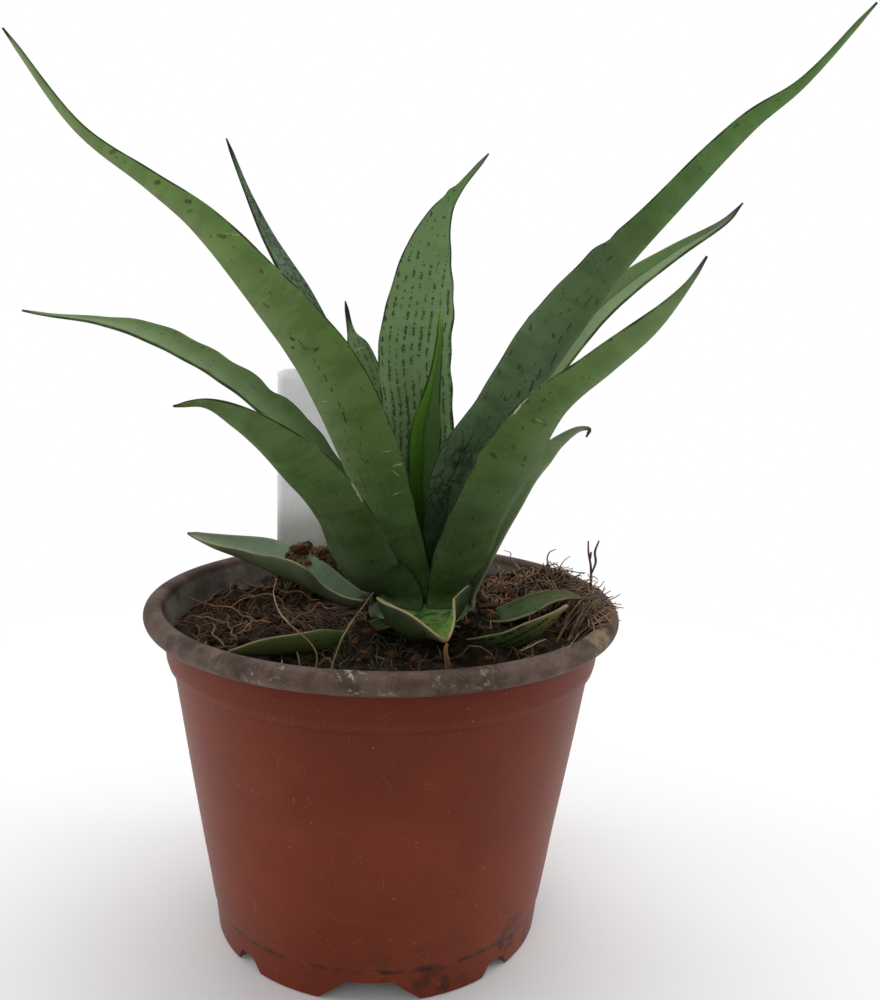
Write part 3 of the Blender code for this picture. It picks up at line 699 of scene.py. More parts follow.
paths = []
for _ in range(36):
    y = chance.uniform(-0.014, 0.032)
    x = math.sqrt(0.0515**2 - y * y) - chance.uniform(0.0, 0.005)
    heading = math.atan2(y, x) + chance.gauss(0, 0.5)
    paths.append(reaching(x, y, heading, chance.uniform(0.004, 0.0085), chance.uniform(0.3, 0.9)))
for _ in range(80):
    x = chance.gauss(MOUND_PLACE[0], 0.010)
    y = chance.gauss(MOUND_PLACE[1], 0.010)
    if math.hypot(x, y) < 0.052:
        heading = chance.uniform(0, 6.28)
        paths.append(reaching(x, y, heading, chance.uniform(0.003, 0.0055), chance.uniform(0.1, 0.7)))
add_strands("rim_fibres", paths, 0.00024, coir_heap)
paths = []
for count, azimuth, spread, *ranges in (
    (54, 3, 12, (0.0440, 0.0505), (0.0520, 0.0570), (0.0872, 0.0905)),
    (56, -14, 6.5, (0.0480, 0.0525), (0.0545, 0.0612), (0.0869, 0.0890)),
):
    for _ in range(count):
        heading = chance.gauss(azimuth, spread)
        paths.append(over_lip(heading, *[chance.uniform(*pair) for pair in ranges]))
add_strands("lip_fibres", paths, 0.00026, coir_heap)


# Mat: a torn piece of the old root ball at the left, where thin roots run side by side from the
# label down to the foot of the leaves.
paths = []
for _ in range(120):
    x = chance.uniform(-0.030, -0.013)
    y = 0.010 + 0.55 * (x + 0.0215) + chance.uniform(-0.004, 0.004)
    heading = math.radians(-42 + chance.gauss(0, 12))
    points = []
    for i in range(8):
        lift = 0.0016 * math.sin(math.pi * i / 7) * chance.uniform(0.4, 1.0)
        points.append((x, y, ground(x, y) + 0.0003 + lift))
        x += 0.0021 * math.cos(heading)
        y += 0.0021 * math.sin(heading)
        heading += chance.gauss(0, 0.14)
    paths.append(points)
add_strands("root_mat", paths, 0.00020, fibre_material("mat_brown", (46, 33, 20), (88, 62, 40)))


# Roots: a few thicker, orange-brown ones that loop over the mix at the left, with short branches,
# finer roots among them, and a tuft of moss hairs in front of the crown.
ROOTS = (
    ((-0.0530, 0.0140, 0.0812), (-0.0491, 0.0100, 0.0806), (-0.0448, 0.0080, 0.0806),
     (-0.0390, 0.0040, 0.0801), (-0.0347, 0.0010, 0.0795), (-0.0296, -0.0030, 0.0793),
     (-0.0238, -0.0050, 0.0796), (-0.0180, -0.0030, 0.0806)),
    ((-0.0452, 0.0100, 0.0809), (-0.0411, 0.0130, 0.0821), (-0.0367, 0.0160, 0.0825),
     (-0.0338, 0.0190, 0.0833), (-0.0284, 0.0140, 0.0832), (-0.0230, 0.0110, 0.0834),
     (-0.0170, 0.0060, 0.0822)),
    ((-0.0500, 0.0060, 0.0803), (-0.0441, 0.0190, 0.0815), (-0.0395, 0.0270, 0.0820),
     (-0.0345, 0.0230, 0.0817)),
    ((-0.0238, -0.0050, 0.0796), (-0.0205, -0.0015, 0.0812), (-0.0160, 0.0010, 0.0828),
     (-0.0120, -0.0020, 0.0830)),
    ((-0.0347, 0.0010, 0.0793), (-0.0330, -0.0060, 0.0796), (-0.0350, -0.0130, 0.0795)),
    ((-0.0500, -0.0010, 0.0800), (-0.0440, -0.0045, 0.0812), (-0.0385, -0.0100, 0.0805),
     (-0.0360, -0.0180, 0.0798)),
    ((-0.0470, -0.0080, 0.0798), (-0.0420, -0.0120, 0.0808), (-0.0400, -0.0190, 0.0800),
     (-0.0350, -0.0230, 0.0797)),
    ((-0.0411, 0.0130, 0.0821), (-0.0420, 0.0180, 0.0840), (-0.0400, 0.0210, 0.0850)),
    ((-0.0300, 0.0130, 0.0830), (-0.0290, 0.0190, 0.0850), (-0.0310, 0.0240, 0.0845)),
    ((-0.0400, 0.0050, 0.0802), (-0.0350, 0.0090, 0.0822), (-0.0290, 0.0070, 0.0822),
     (-0.0240, 0.0020, 0.0806)),
)


def route_point(route, at):
    """A point of the smooth curve through a list of places, at a fraction of its run."""
    steps = [(b - a).length ** 0.5 for a, b in zip(route, route[1:])]
    knots = [0.0]
    for step in steps:
        knots.append(knots[-1] + step)
    where = at * knots[-1]
    span = max(i for i in range(len(steps)) if where >= knots[i] - 1e-9)
    before = route[span - 1] if span else route[0] * 2 - route[1]
    after = route[span + 2] if span + 2 < len(route) else route[-1] * 2 - route[-2]
    quad = (before, route[span], route[span + 1], after)
    first = knots[span] - (steps[span - 1] if span else steps[0])
    last = knots[span + 1] + (steps[span + 1] if span + 1 < len(steps) else steps[-1])
    t = (first, knots[span], knots[span + 1], last)
    low = [quad[i].lerp(quad[i + 1], (where - t[i]) / (t[i + 1] - t[i])) for i in range(3)]
    mid = [low[i].lerp(low[i + 1], (where - t[i]) / (t[i + 2] - t[i])) for i in range(2)]
    return mid[0].lerp(mid[1], (where - t[1]) / (t[2] - t[1]))


def through(routes, count, wander):
    """Even points along the smooth curve through each list of places, shaken a little."""
    paths = []
    for places in routes:
        route = [Vector((*place, 1.0)) for place in places]
        spots = [route_point(route, i / (count - 1)).xyz for i in range(count)]
        paths.append([tuple(spot + noise.noise_vector(spot * 260.0) * wander) for spot in spots])
    return paths


root_skin = fibre_material("root_orange", (76, 48, 26), (134, 94, 56), 0.7)
add_strands("loose_roots", through(ROOTS, 34, 0.0015), 0.00025, root_skin)
paths = many_fibres(scatter(90, (-0.038, 0.004, 0.010)), 0.004, 0.010, 0.0020, 2.4)
add_strands("fine_roots", paths, 0.00010, root_skin)
paths = many_fibres(scatter(70, (-0.006, -0.024, 0.008)), 0.003, 0.008, 0.0030, 2.0)
add_strands("moss_hairs", paths, 0.00013, fibre_material("moss_green", (58, 62, 36), (104, 100, 66)))


# Dry stalks: a forked twig and a bent hair on the heap, two long pale roots that hang down in front
# of the leaves, short pale ends by the lip, and a brown stub under the front leaf's point. All of
# them stick in the mix at one end.
STALKS = (
    ((-0.0274, -0.0020, 0.0907), (-0.0277, -0.0080, 0.0894), (-0.0261, -0.0160, 0.0884),
     (-0.0234, -0.0260, 0.0880), (-0.0191, -0.0330, 0.0868), (-0.0159, -0.0360, 0.0848),
     (-0.0146, -0.0380, 0.0828), (-0.0148, -0.0410, 0.0790)),
    ((-0.0028, -0.0200, 0.0925), (-0.0061, -0.0280, 0.0897), (-0.0085, -0.0340, 0.0876),
     (-0.0100, -0.0380, 0.0849), (-0.0120, -0.0410, 0.0790)),
    ((-0.0225, -0.0360, 0.0812), (-0.0225, -0.0370, 0.0800), (-0.0225, -0.0380, 0.0785)),
    ((-0.0188, -0.0400, 0.0845), (-0.0182, -0.0400, 0.0818), (-0.0184, -0.0400, 0.0785)),
    ((0.0459, 0.0140, 0.0870), (0.0443, 0.0150, 0.0922), (0.0449, 0.0160, 0.0945), (0.0469, 0.0170, 0.0954)),
    ((0.0343, -0.0260, 0.0905), (0.0338, -0.0265, 0.0870), (0.0352, -0.0270, 0.0800)),
    ((0.0253, 0.0060, 0.0960), (0.0276, 0.0050, 0.0950), (0.0294, 0.0040, 0.0928), (0.0316, 0.0040, 0.0870)),
    ((-0.0110, -0.0250, 0.0790), (-0.0060, -0.0290, 0.0812), (0.0000, -0.0310, 0.0800),
     (0.0050, -0.0330, 0.0790)),
    ((-0.0100, -0.0330, 0.0790), (-0.0050, -0.0270, 0.0815), (-0.0010, -0.0240, 0.0826)),
)
TWIG = (
    ((0.0535, 0.0060, 0.0820), (0.0545, 0.0062, 0.0869), (0.0549, 0.0065, 0.0909), (0.0544, 0.0066, 0.0950),
     (0.0536, 0.0068, 0.1002)),
    ((0.0549, 0.0065, 0.0909), (0.0559, 0.0060, 0.0947), (0.0556, 0.0058, 0.0975), (0.0562, 0.0056, 0.1005)),
    ((0.0544, 0.0066, 0.0950), (0.0549, 0.0069, 0.0974)),
)
STUB = (
    ((0.0137, -0.0430, 0.0880), (0.0136, -0.0432, 0.0861), (0.0139, -0.0434, 0.0839),
     (0.0135, -0.0436, 0.0785)),
    ((0.0140, -0.0428, 0.0845), (0.0146, -0.0420, 0.0822), (0.0138, -0.0424, 0.0790)),
)
stalk_skin = fibre_material("dry_stalk", (112, 84, 52), (160, 130, 88), 0.7)
add_strands("pale_stalks", through(STALKS, 20, 0.0002), 0.00020, stalk_skin)
twig_skin = fibre_material("dry_twig", (58, 38, 32), (112, 76, 62), 0.7)
add_strands("forked_twig", through(TWIG, 14, 0.0004), 0.00034, twig_skin)
add_strands("tip_stem", through(STUB, 22, 0.0006), 0.00055, root_skin)


# Crown: the short fleshy stem that the leaves stand on, stepped from ring to ring of leaves. It is
# covered with the remains of old leaf bases, green, painted brighter in front as painted light,
# and brown at the soil.
CROWN_RADIUS = 0.0145
CROWN_PROFILE = (
    (0.0, 0.0700), (0.0125, 0.0700), (CROWN_RADIUS, 0.0720), (0.0147, 0.0812), (0.0144, 0.0824),
    (0.0136, 0.0832), (0.0124, 0.0841), (0.0114, 0.0849), (0.0104, 0.0856), (0.0092, 0.0861), (0.0, 0.0862),
)
crown_skin, tree, shader = new_material("leaf_base_scales", 0.75)
spot = object_place(tree)
x, y, z = split(tree, spot)
rings = cloud(tree, joined(tree, x, y, times(tree, z, 5.0)), 260.0, 4.0, 0.6)
colour = mottled(tree, rings, 0.36, 0.66, (36, 50, 24), (56, 76, 36))
# Painted light: the green of the leaf bases is brighter on the front side.
painted_light_green = mottled(tree, rings, 0.38, 0.50, (44, 78, 28), (98, 134, 60))
colour = mixed(tree, ease(tree, y, -0.0050, -0.0095), colour, painted_light_green)
colour = mixed(tree, ease(tree, z, 0.0815, 0.0795), colour, tone(32, 25, 17))
finish(tree, shader, colour, rings, 0.4, 0.0005)
bm = turned(CROWN_PROFILE, 72)
bmesh.ops.translate(bm, verts=bm.verts, vec=(*CROWN_PLACE, 0.0))
for vert in bm.verts:
    vert.co += noise.noise_vector(vert.co * 300.0) * 0.00025
add_piece(bm, "crown_stub", crown_skin, "crown", sharp=50)


# Plant label: a bare strip of white plastic pushed into the mix behind the leaves, with a point
# below and rounded corners above, bowed a little, painted grey low down as shade and mottled
# brown where it meets the soil.
LABEL_PLACE = (-0.0205, 0.0315, 0.0)
LABEL_TURN = math.radians(4)
LABEL_BOTTOM = 0.0600
LABEL_LENGTH = 0.0820
LABEL_HALF_WIDTH = 0.0105
LABEL_POINT = 0.171
LABEL_CORNER = 0.0010
LABEL_BOW = 0.0006
LABEL_THICKNESS = 0.0007
label_skin, tree, shader = new_material("label_plastic", 0.45)
shader.inputs["Subsurface Weight"].default_value = 0.9
shader.inputs["Subsurface Radius"].default_value = (1.0, 1.0, 1.0)
shader.inputs["Subsurface Scale"].default_value = 0.003
spot = object_place(tree)
x, y, z = split(tree, spot)
smears = cloud(tree, spot, 70.0, 4.0, 0.6)
colour = mottled(tree, smears, 0.35, 0.70, (248, 248, 246), (252, 252, 251))
# Painted shade: the white turns grey over the lower part of the label.
colour = mixed(tree, ease(tree, z, 0.109, 0.096), colour, tone(176, 177, 171))
# Brown mottling over the lowest part, where the label meets the soil.
low_mottle = times(tree, ease(tree, z, 0.100, 0.086), ease(tree, cloud(tree, spot, 320.0, 5.0), 0.35, 0.60))
colour = stained(tree, colour, low_mottle, 0.45, (120, 106, 84))
scrape = use_group(tree, scratches, vector=spot, scale=300.0, share=0.4, width=0.03)["Mask"]
colour = stained(tree, colour, scrape, 0.4, (150, 150, 145))
finish(tree, shader, colour, smears, 0.2, 0.0003)
bm = bmesh.new()
bmesh.ops.create_grid(bm, x_segments=12, y_segments=24, size=0.5)
for vert in bm.verts:
    u, v = 2 * vert.co.x, vert.co.y + 0.5
    height = LABEL_BOTTOM + v * LABEL_LENGTH
    half = LABEL_HALF_WIDTH * min(1.0, v / LABEL_POINT)
    height -= LABEL_CORNER * max(0.0, v - 0.98) / 0.02 * abs(u) ** 8
    vert.co = Vector((u * half, LABEL_BOW * (1 - u * u) * math.sin(math.pi * v), height))
bmesh.ops.remove_doubles(bm, verts=bm.verts, dist=0.00002)
bmesh.ops.rotate(bm, verts=bm.verts, matrix=Matrix.Rotation(LABEL_TURN, 3, "Z"), cent=(0.0, 0.0, 0.0))
bmesh.ops.translate(bm, verts=bm.verts, vec=LABEL_PLACE)
label_plate = add_piece(bm, "label_plate", label_skin, "plant_label", sharp=40)
wall = label_plate.modifiers.new("sheet", "SOLIDIFY")
wall.thickness = LABEL_THICKNESS
wall.offset = 0.0


# Leaves: stiff, fleshy, channelled blades with a waxy skin, which stand on the steps of the crown
# or on its side. Each is one sheet laid along its route and given its thickness, rounded at the
# margins, with its own colours and marks.
CLEAR = 0.0003
FOOT_LENGTH = 0.0036
CROWN_STEPS = ((0.0860, 0.0078), (0.0845, 0.0104), (0.0825, 0.0131))
LEAST_HALF_WIDTH = 0.0003
EDGE_THICKNESS = 0.0008
EDGE_ROUND = 0.00045
LEAF_DULL = 0.52
DARK_RIMS = ((30, 38, 22), (30, 38, 22))
SCAR_PAINT = (190, 194, 150)


def stations_of(route, count):
    """(place, half width, distance along) at even steps along the blade."""
    fine = [route_point(route, i / 400) for i in range(401)]
    length = [0.0]
    for a, b in zip(fine, fine[1:]):
        length.append(length[-1] + (b.xyz - a.xyz).length)
    found = []
    step = 0
    for i in range(count):
        where = length[-1] * i / (count - 1)
        while step < 399 and where > length[step + 1]:
            step += 1
        part = (where - length[step]) / max(length[step + 1] - length[step], 1e-9)
        spot = fine[step].lerp(fine[step + 1], part)
        found.append((spot.xyz, max(spot.w, LEAST_HALF_WIDTH), where))
    return found


def around_crown(reach, azimuth):
    angle = math.radians(azimuth)
    return CROWN_PLACE[0] + reach * math.cos(angle), CROWN_PLACE[1] + reach * math.sin(angle)


def on_step(number, azimuth, half, ring=None, curl=None):
    """The foot of a leaf on a step of the crown: two points, the way it faces, and its cup."""
    height, usual_ring = CROWN_STEPS[number]
    ring = ring or usual_ring
    x, y = around_crown(ring, azimuth)
    angle = math.radians(azimuth)
    points = ((x, y, height + CLEAR, half), (x, y, height + FOOT_LENGTH, half))
    return points, (-math.cos(angle), -math.sin(angle), 0.0), math.degrees(half / (curl or ring))


def on_side(azimuth, height, half, cup):
    """The foot of a low leaf on the side of the crown, as on_step gives it."""
    near = around_crown(CROWN_RADIUS + CLEAR, azimuth)
    far = around_crown(CROWN_RADIUS + FOOT_LENGTH, azimuth)
    return ((*near, height, half), (*far, height, half)), (0.0, 0.0, 1.0), cup


def grow_leaf(name, seed, foot, route, looks, cups, skin, thickness=0.0020, wave=0.0, waves=3, rows=110,
              columns=22, ripples=(0.0, 0.0), period=0.009, nicks=(), lifts=(0.0, 0.0), fold=0.0):
    """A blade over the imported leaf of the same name.

    foot, route as (x, y, z, half width), looks and cups are the same as the solid's. skin holds
    what leaf_skin takes. ripples are how far the margin at each side waves in and out, nicks are
    (side, fraction, height, width) of single bumps or notches in a margin, lifts are how far each
    margin is raised half way along, and fold sharpens the channel to a crease.
    """
    points, first_look, first_cup = foot
    route = [Vector(point) for point in (*points, *route)]
    looks = (first_look, *looks)
    cups = (first_cup, *cups)
    stations = stations_of(route, rows + 1)
    length = stations[-1][2]
    widest = max(half for _, half, _ in stations)
    reach_out = max(1, round(rows / 34))
    frames = []
    for index, (spot, half, where) in enumerate(stations):
        at = where / length
        forward = stations[min(index + reach_out, rows)][0] if index else route[1].xyz
        behind = stations[max(index - reach_out, 0)][0]
        along = (forward - behind).normalized()
        first, part = (0, at * 2) if at < 0.5 else (1, at * 2 - 1)
        look = Vector(looks[first]).lerp(Vector(looks[first + 1]), part)
        inward = (look - along * look.dot(along)).normalized()
        turn = math.radians(cups[first] + (cups[first + 1] - cups[first]) * part)
        body = thickness * (1 - 0.45 * at) * min(1.0, 2.2 * half / widest)
        sway = wave * math.sin(2 * math.pi * waves * at) * math.sin(math.pi * at)
        if at > 0.97:
            half *= 1 - 0.6 * (at - 0.97) / 0.03
        frames.append((spot, half, at, where, inward, along.cross(inward), turn, body, sway))

    bm = bmesh.new()
    blade = bm.verts.layers.float_vector.new("blade")
    share = bm.verts.layers.float_vector.new("share")
    bmesh.ops.create_grid(bm, x_segments=columns, y_segments=rows, size=1.0)
    for vert in bm.verts:
        u = math.copysign(1 - (1 - min(abs(vert.co.x), 1.0)) ** 1.6, vert.co.x)
        vert[share] = Vector((u, (vert.co.y + 1) / 2, 0.0))
    second = bmesh.ops.extrude_face_region(bm, geom=list(bm.faces), use_keep_orig=True)["geom"]
    for item in second:
        if isinstance(item, bmesh.types.BMVert):
            item[share] = Vector((item[share].x, item[share].y, 1.0))
    for vert in bm.verts:
        u, v, face = vert[share]
        spot, half, at, where, inward, side, turn, body, sway = frames[round(v * rows)]
        edge = 1 if u > 0 else 0
        ripple = ripples[edge] * math.sin(2 * math.pi * where / period + 2.0 * edge)
        ripple += 0.00022 * noise.noise(Vector((where * 150.0, edge * 5.0, seed)))
        room = half / widest * math.sin(math.pi * min(max(at, 0.04), 0.97))
        ripple *= room
        for nick_side, nick_at, high, wide in nicks:
            if (nick_side > 0) == (edge == 1):
                ripple += high * math.exp(-((at - nick_at) / wide) ** 2)
        half_here = max(half + ripple * abs(u), 0.0001)
        bend = turn * u
        reach = half_here / turn
        arch = reach * (1 - math.cos(bend)) * (1 - fold)
        arch += fold * reach * (1 - math.cos(turn)) * (math.sqrt(u * u + 0.004) - 0.063) / 0.94
        lift = arch + sway * u**3 + lifts[edge] * math.sin(math.pi * at) * abs(u) ** 3
        place = spot + side * (reach * math.sin(bend)) + inward * lift
        normal = inward * math.cos(bend) - side * math.sin(bend)
        lump = 0.00016 * noise.noise(Vector((u * half * 110.0, where * 60.0, seed + 3.0))) * room
        rim = (1 - abs(u)) * half_here
        round_off = math.sqrt(max(1 - (1 - min(rim / EDGE_ROUND, 1.0)) ** 2, 0.0))
        thick = (EDGE_THICKNESS + max(body - EDGE_THICKNESS, 0.0) * (1 - u * u)) * max(round_off, 0.30)
        vert.co = place + normal * (lump + (thick / 2 if face < 0.5 else -thick / 2))
        vert[blade] = Vector((u * half, where, rim * max(1.0, 0.0026 / half_here)))
        vert[share] = Vector((u, at, face))
    bmesh.ops.recalc_face_normals(bm, faces=bm.faces)
    paint = leaf_skin(name.replace("leaf_", "skin_"), seed, **skin)
    add_piece(bm, name.replace("leaf_", "blade_"), paint, name)


# Rows of dark dashes that run along a blade, thin and ragged, narrowing to nothing at their ends.
on_blade = {"Across": 0.0, "Along": 0.0, "Seed": 0.0}
dash_sizes = {"Gap": 0.0022, "Run": 0.004, "Cover": 0.5, "Width": 0.0004}
dashes, at, out = new_group("dash_rows", {**on_blade, **dash_sizes}, ["Mask"])
drift = joined(dashes, times(dashes, at["Along"], 70.0), times(dashes, at["Across"], 60.0), at["Seed"])
drift = times(dashes, cloud(dashes, drift, 1.0, 1.0), 0.9)
rough = cloud(dashes, joined(dashes, at["Across"], at["Along"], at["Seed"]), 1500.0, 3.0, 0.7)
lane = plus(dashes, calc(dashes, "DIVIDE", at["Across"], at["Gap"]), drift)
number = calc(dashes, "FLOOR", plus(dashes, lane, 0.5))
off = times(dashes, distance_from(dashes, lane, number), at["Gap"])
run = calc(dashes, "DIVIDE", at["Along"], at["Run"])
pattern = cloud(dashes, joined(dashes, times(dashes, number, 7.31), run, at["Seed"]), 1.0, 3.0, 0.55)
limit = minus(dashes, 0.72, times(dashes, at["Cover"], 0.4))
force = ease(dashes, pattern, limit, plus(dashes, limit, 0.15))
half_line = times(dashes, slope(dashes, force, 0.65, 0.35), slope(dashes, rough, 3.6, -1.3))
half_line = times(dashes, calc(dashes, "MAXIMUM", half_line, 0.02), times(dashes, at["Width"], 0.75))
dash = ease(dashes, off, half_line, times(dashes, half_line, 0.35))
dashes.links.new(times(dashes, dash, ease(dashes, force, 0.02, 0.40)), out["Mask"])

# Net-like dark blotches, where the dashes have run together.
blotches, at, out = new_group("net_blotches", {**on_blade, "Size": 0.003, "Cover": 0.5}, ["Mask"])
rung = calc(blotches, "DIVIDE", at["Along"], times(blotches, at["Size"], 1.5))
flat = joined(blotches, calc(blotches, "DIVIDE", at["Across"], at["Size"]), rung, at["Seed"])
bend = add_node(blotches, "TexNoise", {"Vector": flat, "Scale": 1.6, "Detail": 3.0}).outputs[1]
bent = vector_calc(blotches, "ADD", flat, bend)[0]
net = add_node(blotches, "TexVoronoi", {"Vector": bent, "Scale": 0.8}, feature="DISTANCE_TO_EDGE")
thread = ease(blotches, net.outputs["Distance"], 0.085, 0.015)
limit = minus(blotches, 0.70, times(blotches, at["Cover"], 0.4))
where = ease(blotches, cloud(blotches, flat, 0.55, 3.0, 0.6), limit, plus(blotches, limit, 0.12))
blotches.links.new(times(blotches, thread, where), out["Mask"])

# Faint bands that cross a blade in wavy steps.
bands, at, out = new_group("cross_bands", {**on_blade, "Spacing": 0.006}, ["Mask"])
rung = calc(bands, "DIVIDE", at["Along"], at["Spacing"])
wide = calc(bands, "DIVIDE", at["Across"], times(bands, at["Spacing"], 2.4))
ladder = cloud(bands, joined(bands, wide, rung, at["Seed"]), 1.3, 4.0, 0.62)
bands.links.new(ease(bands, ladder, 0.42, 0.60), out["Mask"])


# The fine lengthwise grain of the skin.
def stretched(tree, at, across, along, detail):
    place = joined(tree, times(tree, at["Across"], across), times(tree, at["Along"], along), at["Seed"])
    return cloud(tree, place, 1.0, detail)


grain, at, out = new_group("blade_grain", on_blade, ["Shade", "Height"])
fine = stretched(grain, at, 2600.0, 110.0, 3.0)
soft = stretched(grain, at, 420.0, 40.0, 2.0)
pores = cloud(grain, joined(grain, at["Across"], at["Along"], at["Seed"]), 3800.0, 1.0)
grain.links.new(plus(grain, times(grain, fine, 0.5), times(grain, soft, 0.5)), out["Shade"])
height = plus(grain, soft, times(grain, fine, 0.35))
grain.links.new(plus(grain, height, times(grain, pores, 0.2)), out["Height"])

# One scratch, scar or dark mark at a given place of a blade.
stroke_sizes = {"Place": 0.0, "Height": 0.05, "Turn": 0.0, "Length": 0.002, "Width": 0.0002}
stroke, at, out = new_group("stroke", {"Across": 0.0, "Along": 0.0, **stroke_sizes}, ["Mask"])
dx = minus(stroke, at["Across"], at["Place"])
dy = minus(stroke, at["Along"], at["Height"])
jitter = times(stroke, minus(stroke, cloud(stroke, joined(stroke, dx, dy), 900.0, 2.0), 0.5), 0.0009)
cosine = calc(stroke, "COSINE", at["Turn"])
sine = calc(stroke, "SINE", at["Turn"])
run = calc(stroke, "ABSOLUTE", plus(stroke, times(stroke, dx, cosine), times(stroke, dy, sine)))
off = minus(stroke, times(stroke, dy, cosine), times(stroke, dx, sine))
off = calc(stroke, "ABSOLUTE", plus(stroke, off, jitter))
inside = ease(stroke, run, times(stroke, at["Length"], 0.55), times(stroke, at["Length"], 0.40))
thin = ease(stroke, off, at["Width"], times(stroke, at["Width"], 0.3))
stroke.links.new(times(stroke, inside, thin), out["Mask"])


def ramp(tree, value, stops):
    """A colour that follows a value, by stops of (value, red, green, blue)."""
    made = add_node(tree, "ValToRGB", {0: value})
    elements = made.color_ramp.elements
    for element, stop in zip(elements, (stops[0], stops[-1])):
        element.position = stop[0]
        element.color = tone(*stop[1:])
    for stop in stops[1:-1]:
        elements.new(stop[0]).color = tone(*stop[1:])
    return made.outputs[0]


def leaf_skin(name, seed, inner, outer, mark, rows, net=None, ladder=0.25, rims=DARK_RIMS, rim_width=0.00044,
              tip=None, tip_from=0.94, scars=(), darks=(), half_tone=None, half_end=(0.80, 0.98), crease=0.0,
              bloom=0.08):
    """Waxy leaf skin. inner and outer are colours along the two faces, as ramp takes them.

    mark is the colour of the dark marks, rows are (gap, run, cover at the base, cover at the tip,
    width, strength), net is (size, cover, from, to), ladder is the strength of the cross bands,
    rims are the colours of the two margins, tip is the dry point's colour, scars and darks are
    pale and dark strokes as (across, along, turn, length, width, strength), half_tone is the
    colour, strength and softness of a second tone on one half of the blade, half_end is where it
    fades out, crease is the strength of a line of painted shade along the middle, where the blade
    folds, and bloom that of the haze.
    """
    skin, tree, shader = new_material(name, LEAF_DULL, 0.11)
    across, along, rim = split(tree, add_node(tree, "Attribute", attribute_name="blade").outputs["Vector"])
    side, at, face = split(tree, add_node(tree, "Attribute", attribute_name="share").outputs["Vector"])
    place = dict(across=across, along=along)
    # Ramps darken towards the base, partly as painted shade; a few lift at the foot as painted light.
    colour = mixed(tree, ease(tree, face, 0.45, 0.55), ramp(tree, at, inner), ramp(tree, at, outer))
    if half_tone:
        second, strength, softness = half_tone
        half = times(tree, ease(tree, side, -softness, softness), strength)
        span = times(tree, ease(tree, at, half_end[1], half_end[0]), ease(tree, at, 0.10, 0.38))
        colour = stained(tree, colour, half, span, second)
    # Painted shade: a dark line down the middle, where the blade folds.
    if crease:
        middle = ease(tree, calc(tree, "ABSOLUTE", side), 0.16, 0.0)
        colour = stained(tree, colour, middle, crease, mark)

    rungs = use_group(tree, bands, **place, seed=seed, spacing=0.0062)["Mask"]
    colour = stained(tree, colour, rungs, slope(tree, at, -0.6 * ladder, ladder), mark)
    texture = use_group(tree, grain, **place, seed=seed)
    colour = stained(tree, colour, ease(tree, texture["Shade"], 0.48, 0.66), 0.05, (132, 156, 104))
    smudge = ease(tree, cloud(tree, object_place(tree), 48.0, 3.0, 0.55), 0.40, 0.72)
    colour = stained(tree, colour, smudge, bloom, (150, 166, 144))
    for number, (gap, run, low_cover, high_cover, width, strength) in enumerate(rows):
        cover = slope(tree, at, high_cover - low_cover, low_cover)
        sizes = dict(seed=seed + 3.7 * number, gap=gap, run=run, cover=cover, width=width)
        colour = stained(tree, colour, use_group(tree, dashes, **place, **sizes)["Mask"], strength, mark)
    if net:
        size, cover, low, high = net
        dark = use_group(tree, blotches, **place, seed=seed, size=size, cover=cover)["Mask"]
        reach = (high - low) / 2
        zone = ease(tree, distance_from(tree, at, (low + high) / 2), reach + 0.05, reach - 0.05)
        colour = stained(tree, colour, times(tree, dark, zone), 0.6, mark)
    flecks = cloud(tree, joined(tree, across, times(tree, along, 0.6), seed), 800.0, 2.0)
    colour = stained(tree, colour, ease(tree, flecks, 0.68, 0.74), 0.5, mark)
    for paint, strokes in ((SCAR_PAINT, scars), (mark, darks)):
        for middle, height, turn, length, width, strength in strokes:
            sizes = dict(place=middle, height=height, turn=turn, length=length, width=width)
            colour = stained(tree, colour, use_group(tree, stroke, **place, **sizes)["Mask"], strength, paint)
    edge_noise = cloud(tree, joined(tree, times(tree, along, 160.0), seed), 1.0, 3.0)
    ragged = slope(tree, edge_noise, rim_width * 0.8, rim_width * 0.4)
    rim_mask = ease(tree, rim, ragged, times(tree, ragged, 0.5))
    rim_cover = slope(tree, ease(tree, edge_noise, 0.34, 0.56), 0.60, 0.30)
    rim_colour = mottled(tree, side, -0.1, 0.1, *rims)
    colour = mixed(tree, times(tree, rim_mask, rim_cover), colour, rim_colour)
    if tip:
        dry = ease(tree, plus(tree, at, times(tree, smudge, 0.01)), tip_from, min(tip_from + 0.05, 1.0))
        colour = mixed(tree, dry, colour, tone(*tip))
    tree.links.new(slope(tree, smudge, 0.16, LEAF_DULL - 0.05), shader.inputs["Roughness"])
    finish(tree, shader, colour, texture["Height"], 0.10, 0.0004)
    return skin


# Spear: the youngest leaf, still half rolled, bright green on its left half and greyer on its
# right, with painted shade down its middle and a pale soft point. It stands in the middle of the crown.
grow_leaf(
    "leaf_spear", 1.3, on_step(0, 90, 0.0042, 0.0022, 0.0027),
    (
        (0.0095, 0.0050, 0.1050, 0.0049), (0.0088, 0.0045, 0.1200, 0.0050), (0.0090, 0.0040, 0.1290, 0.0047),
        (0.0102, 0.0035, 0.1365, 0.0029), (0.0113, 0.0030, 0.1430, 0.0017), (0.0121, 0.0025, 0.1510, 0.0009),
        (0.0124, 0.0020, 0.1585, 0.0005),
    ),
    looks=((0.25, -1.0, 0.0), (0.25, -1.0, 0.0)), cups=(55, 35), thickness=0.0014,
    skin=dict(
        inner=((0.0, 40, 66, 18), (0.35, 60, 102, 24), (0.7, 80, 124, 34), (0.9, 88, 130, 40),
               (1.0, 128, 156, 56)),
        outer=((0.0, 34, 54, 22), (0.5, 62, 92, 42), (1.0, 110, 140, 60)),
        mark=(20, 46, 14), rows=((0.0014, 0.0020, 0.50, 0.20, 0.0006, 0.5),), ladder=0.10, bloom=0.03,
        rims=((34, 60, 18), (36, 54, 30)), crease=0.40, half_tone=((84, 116, 64), 0.8, 0.05),
    ),
)


